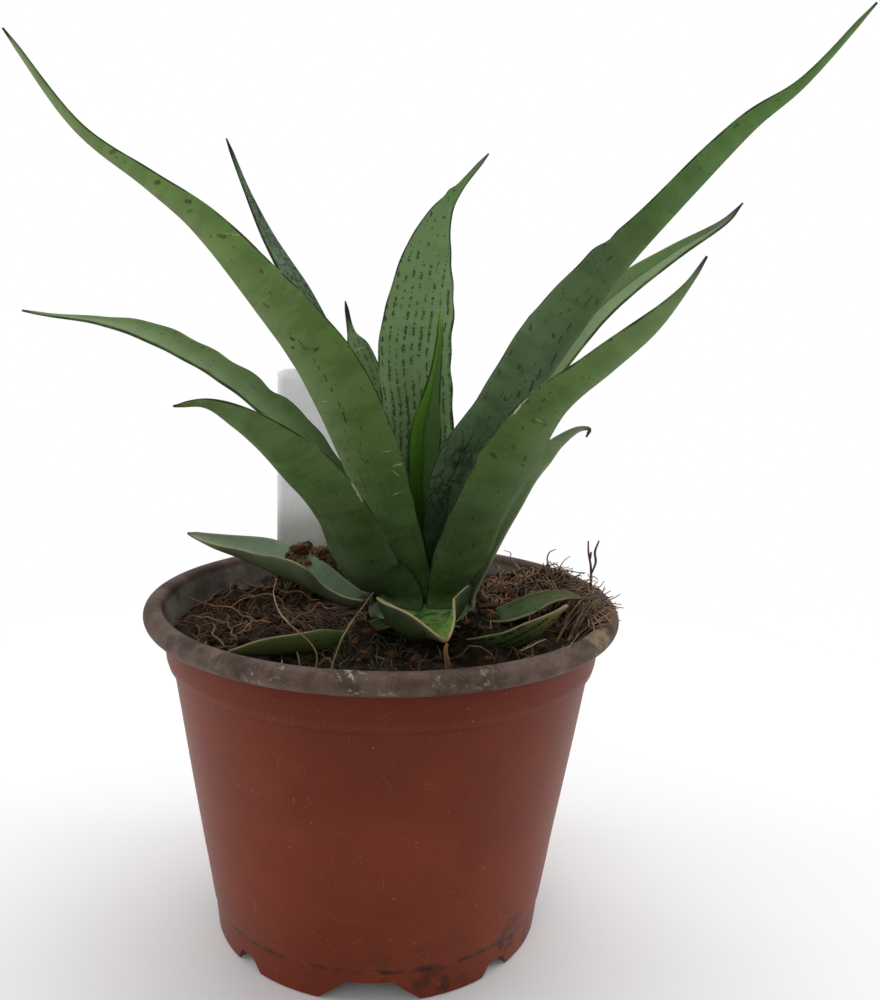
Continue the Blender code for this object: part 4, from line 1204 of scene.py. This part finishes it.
# Long leaf at the right: the tallest one, seen from its outer face, dark blue-green and netted
# low down, with a greyish bloom in the middle and a fine dark point.
grow_leaf(
    "leaf_right_long", 2.1, on_step(0, -30, 0.0072, 0.0052, 0.0055),
    (
        (0.0175, -0.0038, 0.1040, 0.0096), (0.0210, -0.0075, 0.1215, 0.0104), (0.0285, -0.0105, 0.1340, 0.0097),
        (0.0382, -0.0135, 0.1530, 0.0080), (0.0488, -0.0165, 0.1685, 0.0062), (0.0585, -0.0195, 0.1800, 0.0044),
        (0.0770, -0.0250, 0.2010, 0.0027), (0.0868, -0.0270, 0.2090, 0.0015), (0.1000, -0.0300, 0.2250, 0.0005),
    ),
    looks=((-0.35, 0.9, 0.3), (-0.4, 0.75, 0.5)), cups=(34, 24), wave=0.0005, rows=150,
    nicks=((1, 0.555, 0.0004, 0.014), (1, 0.578, -0.0005, 0.010), (1, 0.44, 0.0002, 0.010)),
    skin=dict(
        inner=((0.0, 50, 70, 44), (0.5, 96, 118, 84), (1.0, 120, 140, 96)),
        outer=((0.0, 30, 45, 24), (0.22, 46, 66, 34), (0.38, 60, 82, 43), (0.55, 78, 104, 55),
               (0.75, 98, 132, 70), (1.0, 104, 136, 74)),
        mark=(12, 28, 12), net=(0.0030, 0.80, 0.04, 0.28), ladder=0.30, bloom=0.10,
        half_tone=((120, 146, 106), 0.55, 0.4), half_end=(0.40, 0.66),
        rows=((0.0032, 0.0024, 0.60, 0.24, 0.0011, 0.5), (0.0019, 0.0020, 0.50, 0.16, 0.0007, 0.5)),
        darks=(
            (-0.0030, 0.0690, 1.35, 0.0040, 0.0005, 0.8), (-0.0045, 0.0660, 1.50, 0.0030, 0.0004, 0.7),
            (-0.0010, 0.0610, 1.30, 0.0036, 0.0006, 0.7), (0.0064, 0.0728, 1.00, 0.0016, 0.0003, 0.6),
            (0.0011, 0.0740, 0.80, 0.0014, 0.0005, 0.6), (-0.0011, 0.0740, 1.30, 0.0020, 0.0005, 0.6),
            (-0.0011, 0.0776, 1.40, 0.0022, 0.0004, 0.7), (-0.0010, 0.0849, 1.45, 0.0030, 0.0003, 0.6),
            (-0.0035, 0.0861, 1.30, 0.0016, 0.0005, 0.6), (-0.0012, 0.0643, 1.40, 0.0030, 0.0004, 0.7),
            (0.0013, 0.0582, 1.20, 0.0018, 0.0006, 0.6), (0.0038, 0.0558, 0.90, 0.0012, 0.0005, 0.5),
        ),
        rims=((34, 44, 28), (26, 30, 22)), tip=(44, 38, 34), tip_from=0.985,
    ),
)


# Long leaf at the left: green, seen from its outer face, with one broken line of dark dashes
# along the blade, a paler greyish left half and a few pale scratches low down.
grow_leaf(
    "leaf_left_long", 3.7, on_step(0, 226, 0.0082),
    (
        (0.0006, -0.0055, 0.0990, 0.0100), (-0.0060, -0.0084, 0.1215, 0.0100),
        (-0.0165, -0.0105, 0.1450, 0.0093), (-0.0330, -0.0125, 0.1660, 0.0056),
        (-0.0440, -0.0135, 0.1775, 0.0040), (-0.0550, -0.0140, 0.1855, 0.0028),
        (-0.0700, -0.0135, 0.1960, 0.0015), (-0.0860, -0.0120, 0.2165, 0.0005),
    ),
    looks=((0.35, 0.9, 0.3), (0.4, 0.75, 0.5)), cups=(34, 24), wave=0.0005, rows=130,
    skin=dict(
        inner=((0.0, 60, 80, 48), (0.5, 104, 126, 84), (1.0, 120, 140, 96)),
        outer=((0.0, 68, 92, 44), (0.30, 90, 119, 56), (0.6, 111, 142, 74), (1.0, 127, 151, 94)),
        mark=(20, 42, 16), ladder=0.30,
        rows=((0.0024, 0.0020, 0.50, 0.10, 0.0009, 0.5), (0.0013, 0.0016, 0.40, 0.02, 0.0006, 0.4)),
        darks=(
            (0.0003, 0.0696, 1.5, 0.0030, 0.00022, 0.7), (-0.0001, 0.0652, 1.55, 0.0012, 0.00024, 0.7),
            (-0.0002, 0.0632, 1.4, 0.0010, 0.00026, 0.7), (-0.0004, 0.0603, 1.6, 0.0020, 0.00024, 0.7),
            (-0.0003, 0.0572, 1.5, 0.0009, 0.00034, 0.8), (-0.0006, 0.0533, 1.4, 0.0014, 0.00026, 0.7),
            (-0.0005, 0.0500, 1.6, 0.0026, 0.00034, 0.8), (-0.0020, 0.0430, 1.5, 0.0016, 0.00024, 0.5),
            (0.0032, 0.0704, 0.4, 0.0012, 0.0005, 0.7), (0.0016, 0.0722, 0.9, 0.0014, 0.0005, 0.8),
            (-0.0022, 0.0672, 0.1, 0.0014, 0.0004, 0.6), (0.0086, 0.0681, 1.5, 0.0022, 0.0005, 0.9),
            (0.0010, 0.0330, 1.5, 0.0060, 0.00022, 0.5), (0.0030, 0.0420, 0.1, 0.0020, 0.0003, 0.4),
            (-0.0010, 0.0398, 1.5, 0.0050, 0.00018, 0.5), (-0.0012, 0.1288, 0.6, 0.0022, 0.0006, 0.5),
            (-0.0012, 0.1174, 0.6, 0.0016, 0.0006, 0.6), (-0.0019, 0.1098, 0.9, 0.0016, 0.0006, 0.6),
            (-0.0004, 0.1084, 0.5, 0.0016, 0.0005, 0.4), (-0.0014, 0.0997, 0.9, 0.0024, 0.0006, 0.5),
            (-0.0030, 0.0883, 1.2, 0.0011, 0.0005, 0.5), (0.0015, 0.0820, 1.2, 0.0020, 0.0005, 0.4),
        ),
        scars=(
            (-0.0072, 0.0391, 0.2, 0.0022, 0.00013, 0.45), (-0.0090, 0.0353, 0.1, 0.0034, 0.00014, 0.65),
            (-0.0075, 0.0337, 0.9, 0.0024, 0.00013, 0.50), (-0.0066, 0.0290, -0.15, 0.0024, 0.00013, 0.40),
            (-0.0034, 0.0984, 0.87, 0.0036, 0.00013, 0.60), (0.0030, 0.0550, 0.1, 0.0020, 0.00012, 0.35),
        ),
        half_tone=((130, 132, 102), 0.3, 0.9), half_end=(0.86, 0.99), rims=((22, 36, 14), (60, 62, 42)),
        rim_width=0.0006, tip=(58, 54, 40), tip_from=0.985,
    ),
)


# Broad leaf at the back: pale grey-green inner face with nine or ten broken rows of dark dashes,
# a scalloped right margin and a narrow rolled point, dark and purplish.
grow_leaf(
    "leaf_back_broad", 4.4, on_step(0, 90, 0.0088),
    (
        (0.0085, 0.0120, 0.1080, 0.0092), (0.0078, 0.0150, 0.1300, 0.0100), (0.0065, 0.0190, 0.1470, 0.0101),
        (0.0081, 0.0255, 0.1615, 0.0091), (0.0098, 0.0315, 0.1740, 0.0066), (0.0131, 0.0365, 0.1850, 0.0034),
        (0.0177, 0.0395, 0.1920, 0.0013), (0.0265, 0.0440, 0.2030, 0.0005),
    ),
    looks=((0.0, -1.0, 0.35), (0.1, -0.9, 0.4)), cups=(30, 26), wave=0.0005, waves=4, rows=130, columns=26,
    ripples=(0.00005, 0.00022), period=0.0105, nicks=((-1, 0.875, 0.0006, 0.012),),
    skin=dict(
        inner=((0.0, 66, 84, 50), (0.30, 112, 138, 92), (0.6, 112, 141, 90), (0.9, 104, 135, 78),
               (1.0, 99, 109, 89)),
        outer=((0.0, 56, 72, 42), (0.5, 84, 108, 66), (1.0, 92, 110, 76)),
        mark=(24, 42, 28), ladder=0.16, bloom=0.12,
        rows=(
            (0.0021, 0.0019, 1.00, 0.36, 0.0014, 0.75), (0.0021, 0.0013, 0.76, 0.34, 0.0010, 0.6),
            (0.0012, 0.0015, 0.60, 0.22, 0.0006, 0.45),
        ),
        rims=((36, 44, 32), (30, 36, 28)), tip=(58, 54, 58), tip_from=0.97,
    ),
)


# Leaf at the front right: mid green outer face with sparse dashes, a pale dried stretch on its
# left margin and a thin purplish spike. It stands on the crown's middle step. Its outer face is
# lifted at the very foot, painted light against the shade of the crown.
grow_leaf(
    "leaf_right_front", 5.2, on_step(1, -52, 0.0064),
    (
        (0.0195, -0.0110, 0.0955, 0.0094), (0.0225, -0.0155, 0.1070, 0.0099), (0.0275, -0.0215, 0.1205, 0.0094),
        (0.0350, -0.0290, 0.1370, 0.0077), (0.0455, -0.0370, 0.1485, 0.0047), (0.0540, -0.0430, 0.1575, 0.0035),
        (0.0595, -0.0485, 0.1660, 0.0009), (0.0620, -0.0500, 0.1710, 0.0005),
    ),
    looks=((-0.45, 0.8, 0.4), (-0.4, 0.75, 0.5)), cups=(32, 24), wave=0.0005, rows=120,
    skin=dict(
        inner=((0.0, 60, 80, 46), (0.5, 104, 128, 80), (1.0, 120, 140, 92)),
        outer=((0.0, 76, 94, 54), (0.14, 70, 90, 48), (0.30, 72, 96, 47), (0.6, 92, 121, 60),
               (0.85, 112, 141, 82), (1.0, 111, 126, 90)),
        mark=(22, 42, 16), rows=((0.0026, 0.0018, 0.50, 0.24, 0.0009, 0.65),), ladder=0.32,
        scars=(
            (0.0073, 0.0612, 1.57, 0.0066, 0.0003, 0.95), (0.0089, 0.0500, 1.57, 0.0018, 0.0003, 0.80),
            (0.0010, 0.0590, 0.1, 0.0022, 0.00013, 0.45),
        ),
        darks=(
            (0.0022, 0.0583, 0.1, 0.0014, 0.0003, 0.5), (-0.0011, 0.0583, 0.3, 0.0014, 0.0004, 0.5),
            (0.0064, 0.0474, 0.6, 0.0018, 0.0006, 0.6), (-0.0013, 0.0483, 1.0, 0.0024, 0.0004, 0.6),
            (-0.0018, 0.0462, 0.4, 0.0018, 0.0004, 0.6),
        ),
        rims=((44, 52, 32), (26, 38, 18)), tip=(74, 58, 64), tip_from=0.955,
    ),
)


# Leaf at the front left: smooth green outer face, darker towards the base, partly as painted
# shade, and lifted again at its very foot as painted light, with a thin dark upper margin and a
# brown, dried point.
grow_leaf(
    "leaf_left_front", 6.9, on_step(1, 233, 0.0064),
    (
        (-0.0045, -0.0115, 0.0945, 0.0098), (-0.0105, -0.0180, 0.1085, 0.0091),
        (-0.0170, -0.0230, 0.1190, 0.0081), (-0.0245, -0.0270, 0.1275, 0.0064),
        (-0.0325, -0.0300, 0.1340, 0.0038), (-0.0395, -0.0320, 0.1375, 0.0013),
        (-0.0460, -0.0340, 0.1370, 0.0005),
    ),
    looks=((0.4, 0.8, 0.45), (0.1, 0.8, 0.6)), cups=(32, 24), wave=0.0004,
    skin=dict(
        inner=((0.0, 56, 76, 44), (0.5, 96, 118, 72), (1.0, 112, 130, 84)),
        outer=((0.0, 68, 84, 48), (0.14, 70, 88, 48), (0.30, 64, 84, 42), (0.6, 86, 112, 58),
               (0.9, 98, 121, 70), (1.0, 105, 117, 72)),
        mark=(18, 34, 12), rows=((0.0028, 0.0018, 0.50, 0.18, 0.0009, 0.6),), ladder=0.38,
        scars=((-0.0084, 0.0392, 1.57, 0.0052, 0.0004, 0.60),),
        rims=((24, 36, 16), (30, 40, 22)), rim_width=0.0005, tip=(62, 44, 30), tip_from=0.965,
    ),
)


# Leaf at the back right: folded along its middle, with painted shade down the fold, two-tone
# pale green halves, a whitish bloom low down and a dark purple point.
grow_leaf(
    "leaf_right_back", 7.5, on_step(1, 40, 0.0058),
    (
        (0.0205, 0.0110, 0.1010, 0.0064), (0.0285, 0.0160, 0.1195, 0.0067), (0.0395, 0.0215, 0.1380, 0.0068),
        (0.0520, 0.0260, 0.1550, 0.0063), (0.0625, 0.0295, 0.1650, 0.0053), (0.0790, 0.0330, 0.1770, 0.0031),
        (0.0935, 0.0360, 0.1865, 0.0012), (0.0980, 0.0370, 0.1915, 0.0005),
    ),
    looks=((-0.5, -0.7, 0.55), (-0.4, -0.6, 0.7)), cups=(44, 24), fold=0.7, rows=120,
    skin=dict(
        inner=((0.0, 66, 82, 52), (0.3, 92, 112, 74), (0.6, 100, 126, 78), (0.85, 88, 116, 62),
               (1.0, 81, 75, 67)),
        outer=((0.0, 60, 76, 46), (0.5, 84, 106, 62), (1.0, 88, 106, 62)),
        mark=(36, 56, 30), rows=((0.0026, 0.0022, 0.36, 0.36, 0.0008, 0.55),), ladder=0.20, bloom=0.12,
        half_tone=((114, 134, 92), 0.75, 0.05), crease=0.6, rims=((50, 60, 44), (52, 62, 42)),
        rim_width=0.0003, tip=(56, 44, 50), tip_from=0.965,
    ),
)


# Short leaf at the back: narrow and grey-green, standing behind the long leaf at the left, with a
# dark point and a pale cross scratch.
grow_leaf(
    "leaf_back_short", 8.1, on_step(1, 90, 0.0026),
    (
        (0.0072, 0.0170, 0.0970, 0.0032), (0.0035, 0.0250, 0.1095, 0.0038), (-0.0010, 0.0340, 0.1250, 0.0042),
        (-0.0060, 0.0420, 0.1395, 0.0042), (-0.0095, 0.0460, 0.1480, 0.0033), (-0.0115, 0.0485, 0.1520, 0.0013),
        (-0.0135, 0.0520, 0.1610, 0.0005),
    ),
    looks=((0.2, -0.9, 0.4), (0.2, -0.9, 0.4)), cups=(30, 24), rows=90, columns=16,
    skin=dict(
        inner=((0.0, 60, 80, 48), (0.5, 92, 122, 72), (1.0, 88, 112, 68)),
        outer=((0.0, 56, 74, 44), (0.5, 86, 110, 68), (1.0, 82, 102, 64)),
        mark=(30, 50, 30), rows=((0.0018, 0.0020, 0.8, 0.7, 0.0010, 0.65),), ladder=0.30,
        scars=((0.0000, 0.0738, 0.05, 0.0036, 0.00016, 0.5),), tip=(42, 40, 36), tip_from=0.90,
    ),
)


# Narrow leaf at the back left: grey-green with dark dashes, a net of blotches and cross bands,
# ending in a long dark point.
grow_leaf(
    "leaf_left_back", 9.6, on_step(1, 138, 0.0038),
    (
        (0.0015, 0.0130, 0.1005, 0.0044), (-0.0050, 0.0210, 0.1210, 0.0047), (-0.0137, 0.0260, 0.1395, 0.0044),
        (-0.0235, 0.0310, 0.1595, 0.0038), (-0.0345, 0.0375, 0.1775, 0.0021), (-0.0410, 0.0420, 0.1905, 0.0010),
        (-0.0470, 0.0460, 0.2045, 0.0005),
    ),
    looks=((0.55, -0.8, 0.2), (0.5, -0.8, 0.3)), cups=(32, 24), columns=16,
    skin=dict(
        inner=((0.0, 44, 60, 34), (0.5, 84, 106, 74), (0.8, 98, 120, 90), (1.0, 76, 94, 62)),
        outer=((0.0, 44, 58, 34), (0.5, 74, 94, 62), (1.0, 68, 84, 56)),
        mark=(22, 40, 28), rows=((0.0016, 0.0018, 0.80, 0.5, 0.0008, 0.6),), ladder=0.62,
        net=(0.0018, 1.0, 0.40, 0.92), tip=(38, 38, 34), tip_from=0.93,
    ),
)


# Arching leaf at the left: light green upper face with a wavy margin and sparse dashes, bending
# out almost level to a thin dry point. It stands on the crown's lowest step.
grow_leaf(
    "leaf_left_arch", 10.2, on_step(2, 165, 0.0050),
    (
        (-0.0065, 0.0085, 0.0980, 0.0058), (-0.0160, 0.0150, 0.1155, 0.0058), (-0.0285, 0.0205, 0.1290, 0.0050),
        (-0.0450, 0.0250, 0.1405, 0.0049), (-0.0650, 0.0285, 0.1500, 0.0042), (-0.0790, 0.0305, 0.1532, 0.0021),
        (-0.0930, 0.0320, 0.1545, 0.0008), (-0.1005, 0.0330, 0.1555, 0.0005),
    ),
    looks=((0.1, -0.6, 0.8), (0.05, -0.45, 0.9)), cups=(40, 24), wave=0.0003, rows=120, columns=18,
    ripples=(0.0002, 0.0004), period=0.012, nicks=((1, 0.40, 0.0006, 0.025), (1, 0.47, -0.0006, 0.020)),
    skin=dict(
        inner=((0.0, 53, 70, 36), (0.35, 84, 106, 60), (0.7, 100, 126, 74), (1.0, 105, 125, 78)),
        outer=((0.0, 50, 66, 36), (0.5, 76, 98, 56), (1.0, 86, 104, 64)),
        mark=(32, 52, 24), rows=((0.0024, 0.0020, 0.42, 0.42, 0.0009, 0.6),), ladder=0.22,
        rims=((48, 60, 38), (38, 50, 30)), tip=(66, 62, 44), tip_from=0.965,
    ),
)


# Small leaf at the right: half hidden behind the front leaf, with a pale lower margin and a dry
# brown point that hooks down. Its outer face is painted paler than its inner one, painted light
# where it lies in shade.
grow_leaf(
    "leaf_right_small", 11.8, on_step(2, 2, 0.0036),
    (
        (0.0262, 0.0024, 0.0960, 0.0050), (0.0304, 0.0046, 0.1060, 0.0053), (0.0362, 0.0068, 0.1168, 0.0046),
        (0.0404, 0.0088, 0.1213, 0.0037), (0.0447, 0.0105, 0.1255, 0.0023), (0.0505, 0.0118, 0.1293, 0.0010),
        (0.0533, 0.0120, 0.1293, 0.0006), (0.0525, 0.0120, 0.1272, 0.0005),
    ),
    looks=((-0.6, -0.6, 0.5), (-0.2, -0.5, 0.9)), cups=(34, 24), thickness=0.0016, columns=16,
    skin=dict(
        inner=((0.0, 84, 106, 60), (0.4, 98, 124, 76), (0.8, 102, 122, 82), (1.0, 84, 92, 76)),
        outer=((0.0, 108, 124, 82), (0.5, 126, 140, 104), (1.0, 96, 102, 84)),
        mark=(44, 60, 32), rows=((0.0022, 0.0020, 0.36, 0.30, 0.0007, 0.5),), ladder=0.20,
        rims=((168, 160, 126), (142, 146, 112)), tip=(84, 72, 60), tip_from=0.92,
    ),
)


# Low leaf at the front: a short, broad, bright green one that grows from the side of the crown
# and folds outward over the soil, with pale brown margins. Its inner face is painted brighter as
# painted light and its outer face darker as painted shade.
grow_leaf(
    "leaf_front_low", 12.4, on_side(-90, 0.0815, 0.0112, 72),
    (
        (0.0098, -0.0195, 0.0822, 0.0150), (0.0108, -0.0275, 0.0842, 0.0118), (0.0122, -0.0345, 0.0866, 0.0064),
        (0.0135, -0.0430, 0.0885, 0.0006),
    ),
    looks=((-0.35, 0.2, 1.0), (-0.2, 0.1, 1.0)), cups=(80, 55), thickness=0.0014, rows=70, columns=30,
    nicks=((-1, 0.26, 0.0022, 0.10), (1, 0.15, -0.0048, 0.15)), lifts=(0.0, 0.0046),
    skin=dict(
        inner=((0.0, 118, 158, 68), (0.5, 116, 154, 70), (1.0, 120, 136, 76)),
        outer=((0.0, 32, 42, 18), (0.6, 44, 58, 26), (1.0, 80, 78, 50)),
        mark=(22, 50, 14), rows=((0.0024, 0.0018, 0.66, 0.56, 0.0013, 0.75),), ladder=0.20,
        scars=((0.0020, 0.0180, 0.5, 0.0008, 0.0003, 0.7), (-0.0040, 0.0150, 0.9, 0.0008, 0.0003, 0.6)),
        rims=((164, 146, 106), (164, 146, 106)), rim_width=0.00016, tip=(130, 96, 60), tip_from=0.95,
    ),
)


# Low leaf at the left: grows from the side of the crown and lies out over the rim, grey-green
# inside and darker outside, with a thin pale margin.
grow_leaf(
    "leaf_left_rim", 13.1, on_side(165, 0.0812, 0.0050, 80),
    (
        (-0.0148, 0.0122, 0.0822, 0.0066), (-0.0215, 0.0160, 0.0846, 0.0082), (-0.0300, 0.0202, 0.0867, 0.0082),
        (-0.0395, 0.0240, 0.0898, 0.0066), (-0.0475, 0.0258, 0.0922, 0.0044), (-0.0555, 0.0270, 0.0956, 0.0008),
    ),
    looks=((0.15, -0.02, 1.0), (0.1, -0.2, 1.0)), cups=(88, 45), thickness=0.0014, rows=90, columns=26,
    ripples=(0.0002, 0.0002), period=0.013, nicks=((-1, 0.34, 0.0036, 0.13), (1, 0.62, 0.0010, 0.12)),
    lifts=(0.0004, 0.0010),
    skin=dict(
        inner=((0.0, 72, 90, 60), (0.5, 132, 153, 127), (1.0, 118, 132, 104)),
        outer=((0.0, 60, 70, 44), (0.6, 92, 102, 72), (1.0, 96, 100, 66)),
        mark=(44, 58, 38), rows=((0.0028, 0.0022, 0.4, 0.4, 0.0007, 0.4),), ladder=0.20,
        rims=((160, 150, 116), (110, 116, 88)), rim_width=0.00018, tip=(60, 54, 42), tip_from=0.95,
    ),
)


# Low leaf on the soil at the front left: small and dark green, with a pale margin, grown from the
# side of the crown and lying flat on the mix.
grow_leaf(
    "leaf_left_soil", 14.9, on_side(235, 0.0806, 0.0044, 60),
    (
        (-0.0085, -0.0225, 0.0806, 0.0050), (-0.0185, -0.0275, 0.0807, 0.0056),
        (-0.0275, -0.0300, 0.0806, 0.0050), (-0.0362, -0.0300, 0.0804, 0.0008),
    ),
    looks=((0.1, 0.75, 0.7), (0.1, 0.5, 0.9)), cups=(60, 40), thickness=0.0016, rows=80,
    skin=dict(
        inner=((0.0, 58, 74, 40), (0.5, 85, 105, 57), (1.0, 90, 100, 62)),
        outer=((0.0, 50, 62, 32), (0.6, 84, 98, 52), (1.0, 98, 102, 60)),
        mark=(30, 42, 20), rows=((0.0024, 0.0020, 0.5, 0.4, 0.0008, 0.5),), ladder=0.25,
        rims=((140, 130, 92), (140, 130, 92)), rim_width=0.0002, tip=(100, 88, 58), tip_from=0.96,
    ),
)


# Low leaf on the soil at the front right: dark green with dashes and a pale margin, its dry point
# pinkish brown. It grows from the side of the crown and rests on the mix.
grow_leaf(
    "leaf_right_soil", 15.5, on_side(-52, 0.0806, 0.0034, 60),
    (
        (0.0235, -0.0240, 0.0808, 0.0048), (0.0290, -0.0280, 0.0824, 0.0052), (0.0345, -0.0284, 0.0852, 0.0050),
        (0.0390, -0.0265, 0.0880, 0.0034), (0.0434, -0.0225, 0.0910, 0.0007),
    ),
    looks=((-0.1, 0.7, 0.7), (-0.1, 0.7, 0.7)), cups=(34, 30), thickness=0.0016, rows=90, columns=18,
    skin=dict(
        inner=((0.0, 50, 66, 30), (0.5, 76, 96, 46), (1.0, 117, 106, 70)),
        outer=((0.0, 46, 60, 26), (0.6, 72, 92, 42), (1.0, 117, 102, 68)),
        mark=(14, 26, 8), rows=((0.0018, 0.0018, 0.9, 0.7, 0.0011, 0.85),), ladder=0.30,
        rims=((150, 136, 96), (150, 136, 96)), rim_width=0.0002, tip=(160, 124, 92), tip_from=0.93,
    ),
)


# Low leaf at the right: dull green with pale margins, grown from the side of the crown and lying
# on the foot of the heap.
grow_leaf(
    "leaf_right_low", 16.6, on_side(-24, 0.0816, 0.0034, 60),
    (
        (0.0285, -0.0090, 0.0824, 0.0042), (0.0335, -0.0070, 0.0839, 0.0043), (0.0400, -0.0045, 0.0862, 0.0040),
        (0.0459, -0.0050, 0.0880, 0.0026), (0.0503, -0.0065, 0.0882, 0.0006),
    ),
    looks=((0.0, -0.2, 1.0), (0.0, -0.2, 1.0)), cups=(34, 30), thickness=0.0016, rows=80, columns=18,
    skin=dict(
        inner=((0.0, 46, 60, 28), (0.5, 58, 78, 36), (1.0, 90, 88, 52)),
        outer=((0.0, 40, 52, 24), (0.6, 58, 72, 38), (1.0, 90, 84, 54)),
        mark=(20, 34, 12), rows=((0.0020, 0.0020, 0.6, 0.5, 0.0009, 0.7),), ladder=0.30,
        rims=((150, 138, 98), (150, 138, 98)), rim_width=0.0002, tip=(120, 98, 66), tip_from=0.95,
    ),
)
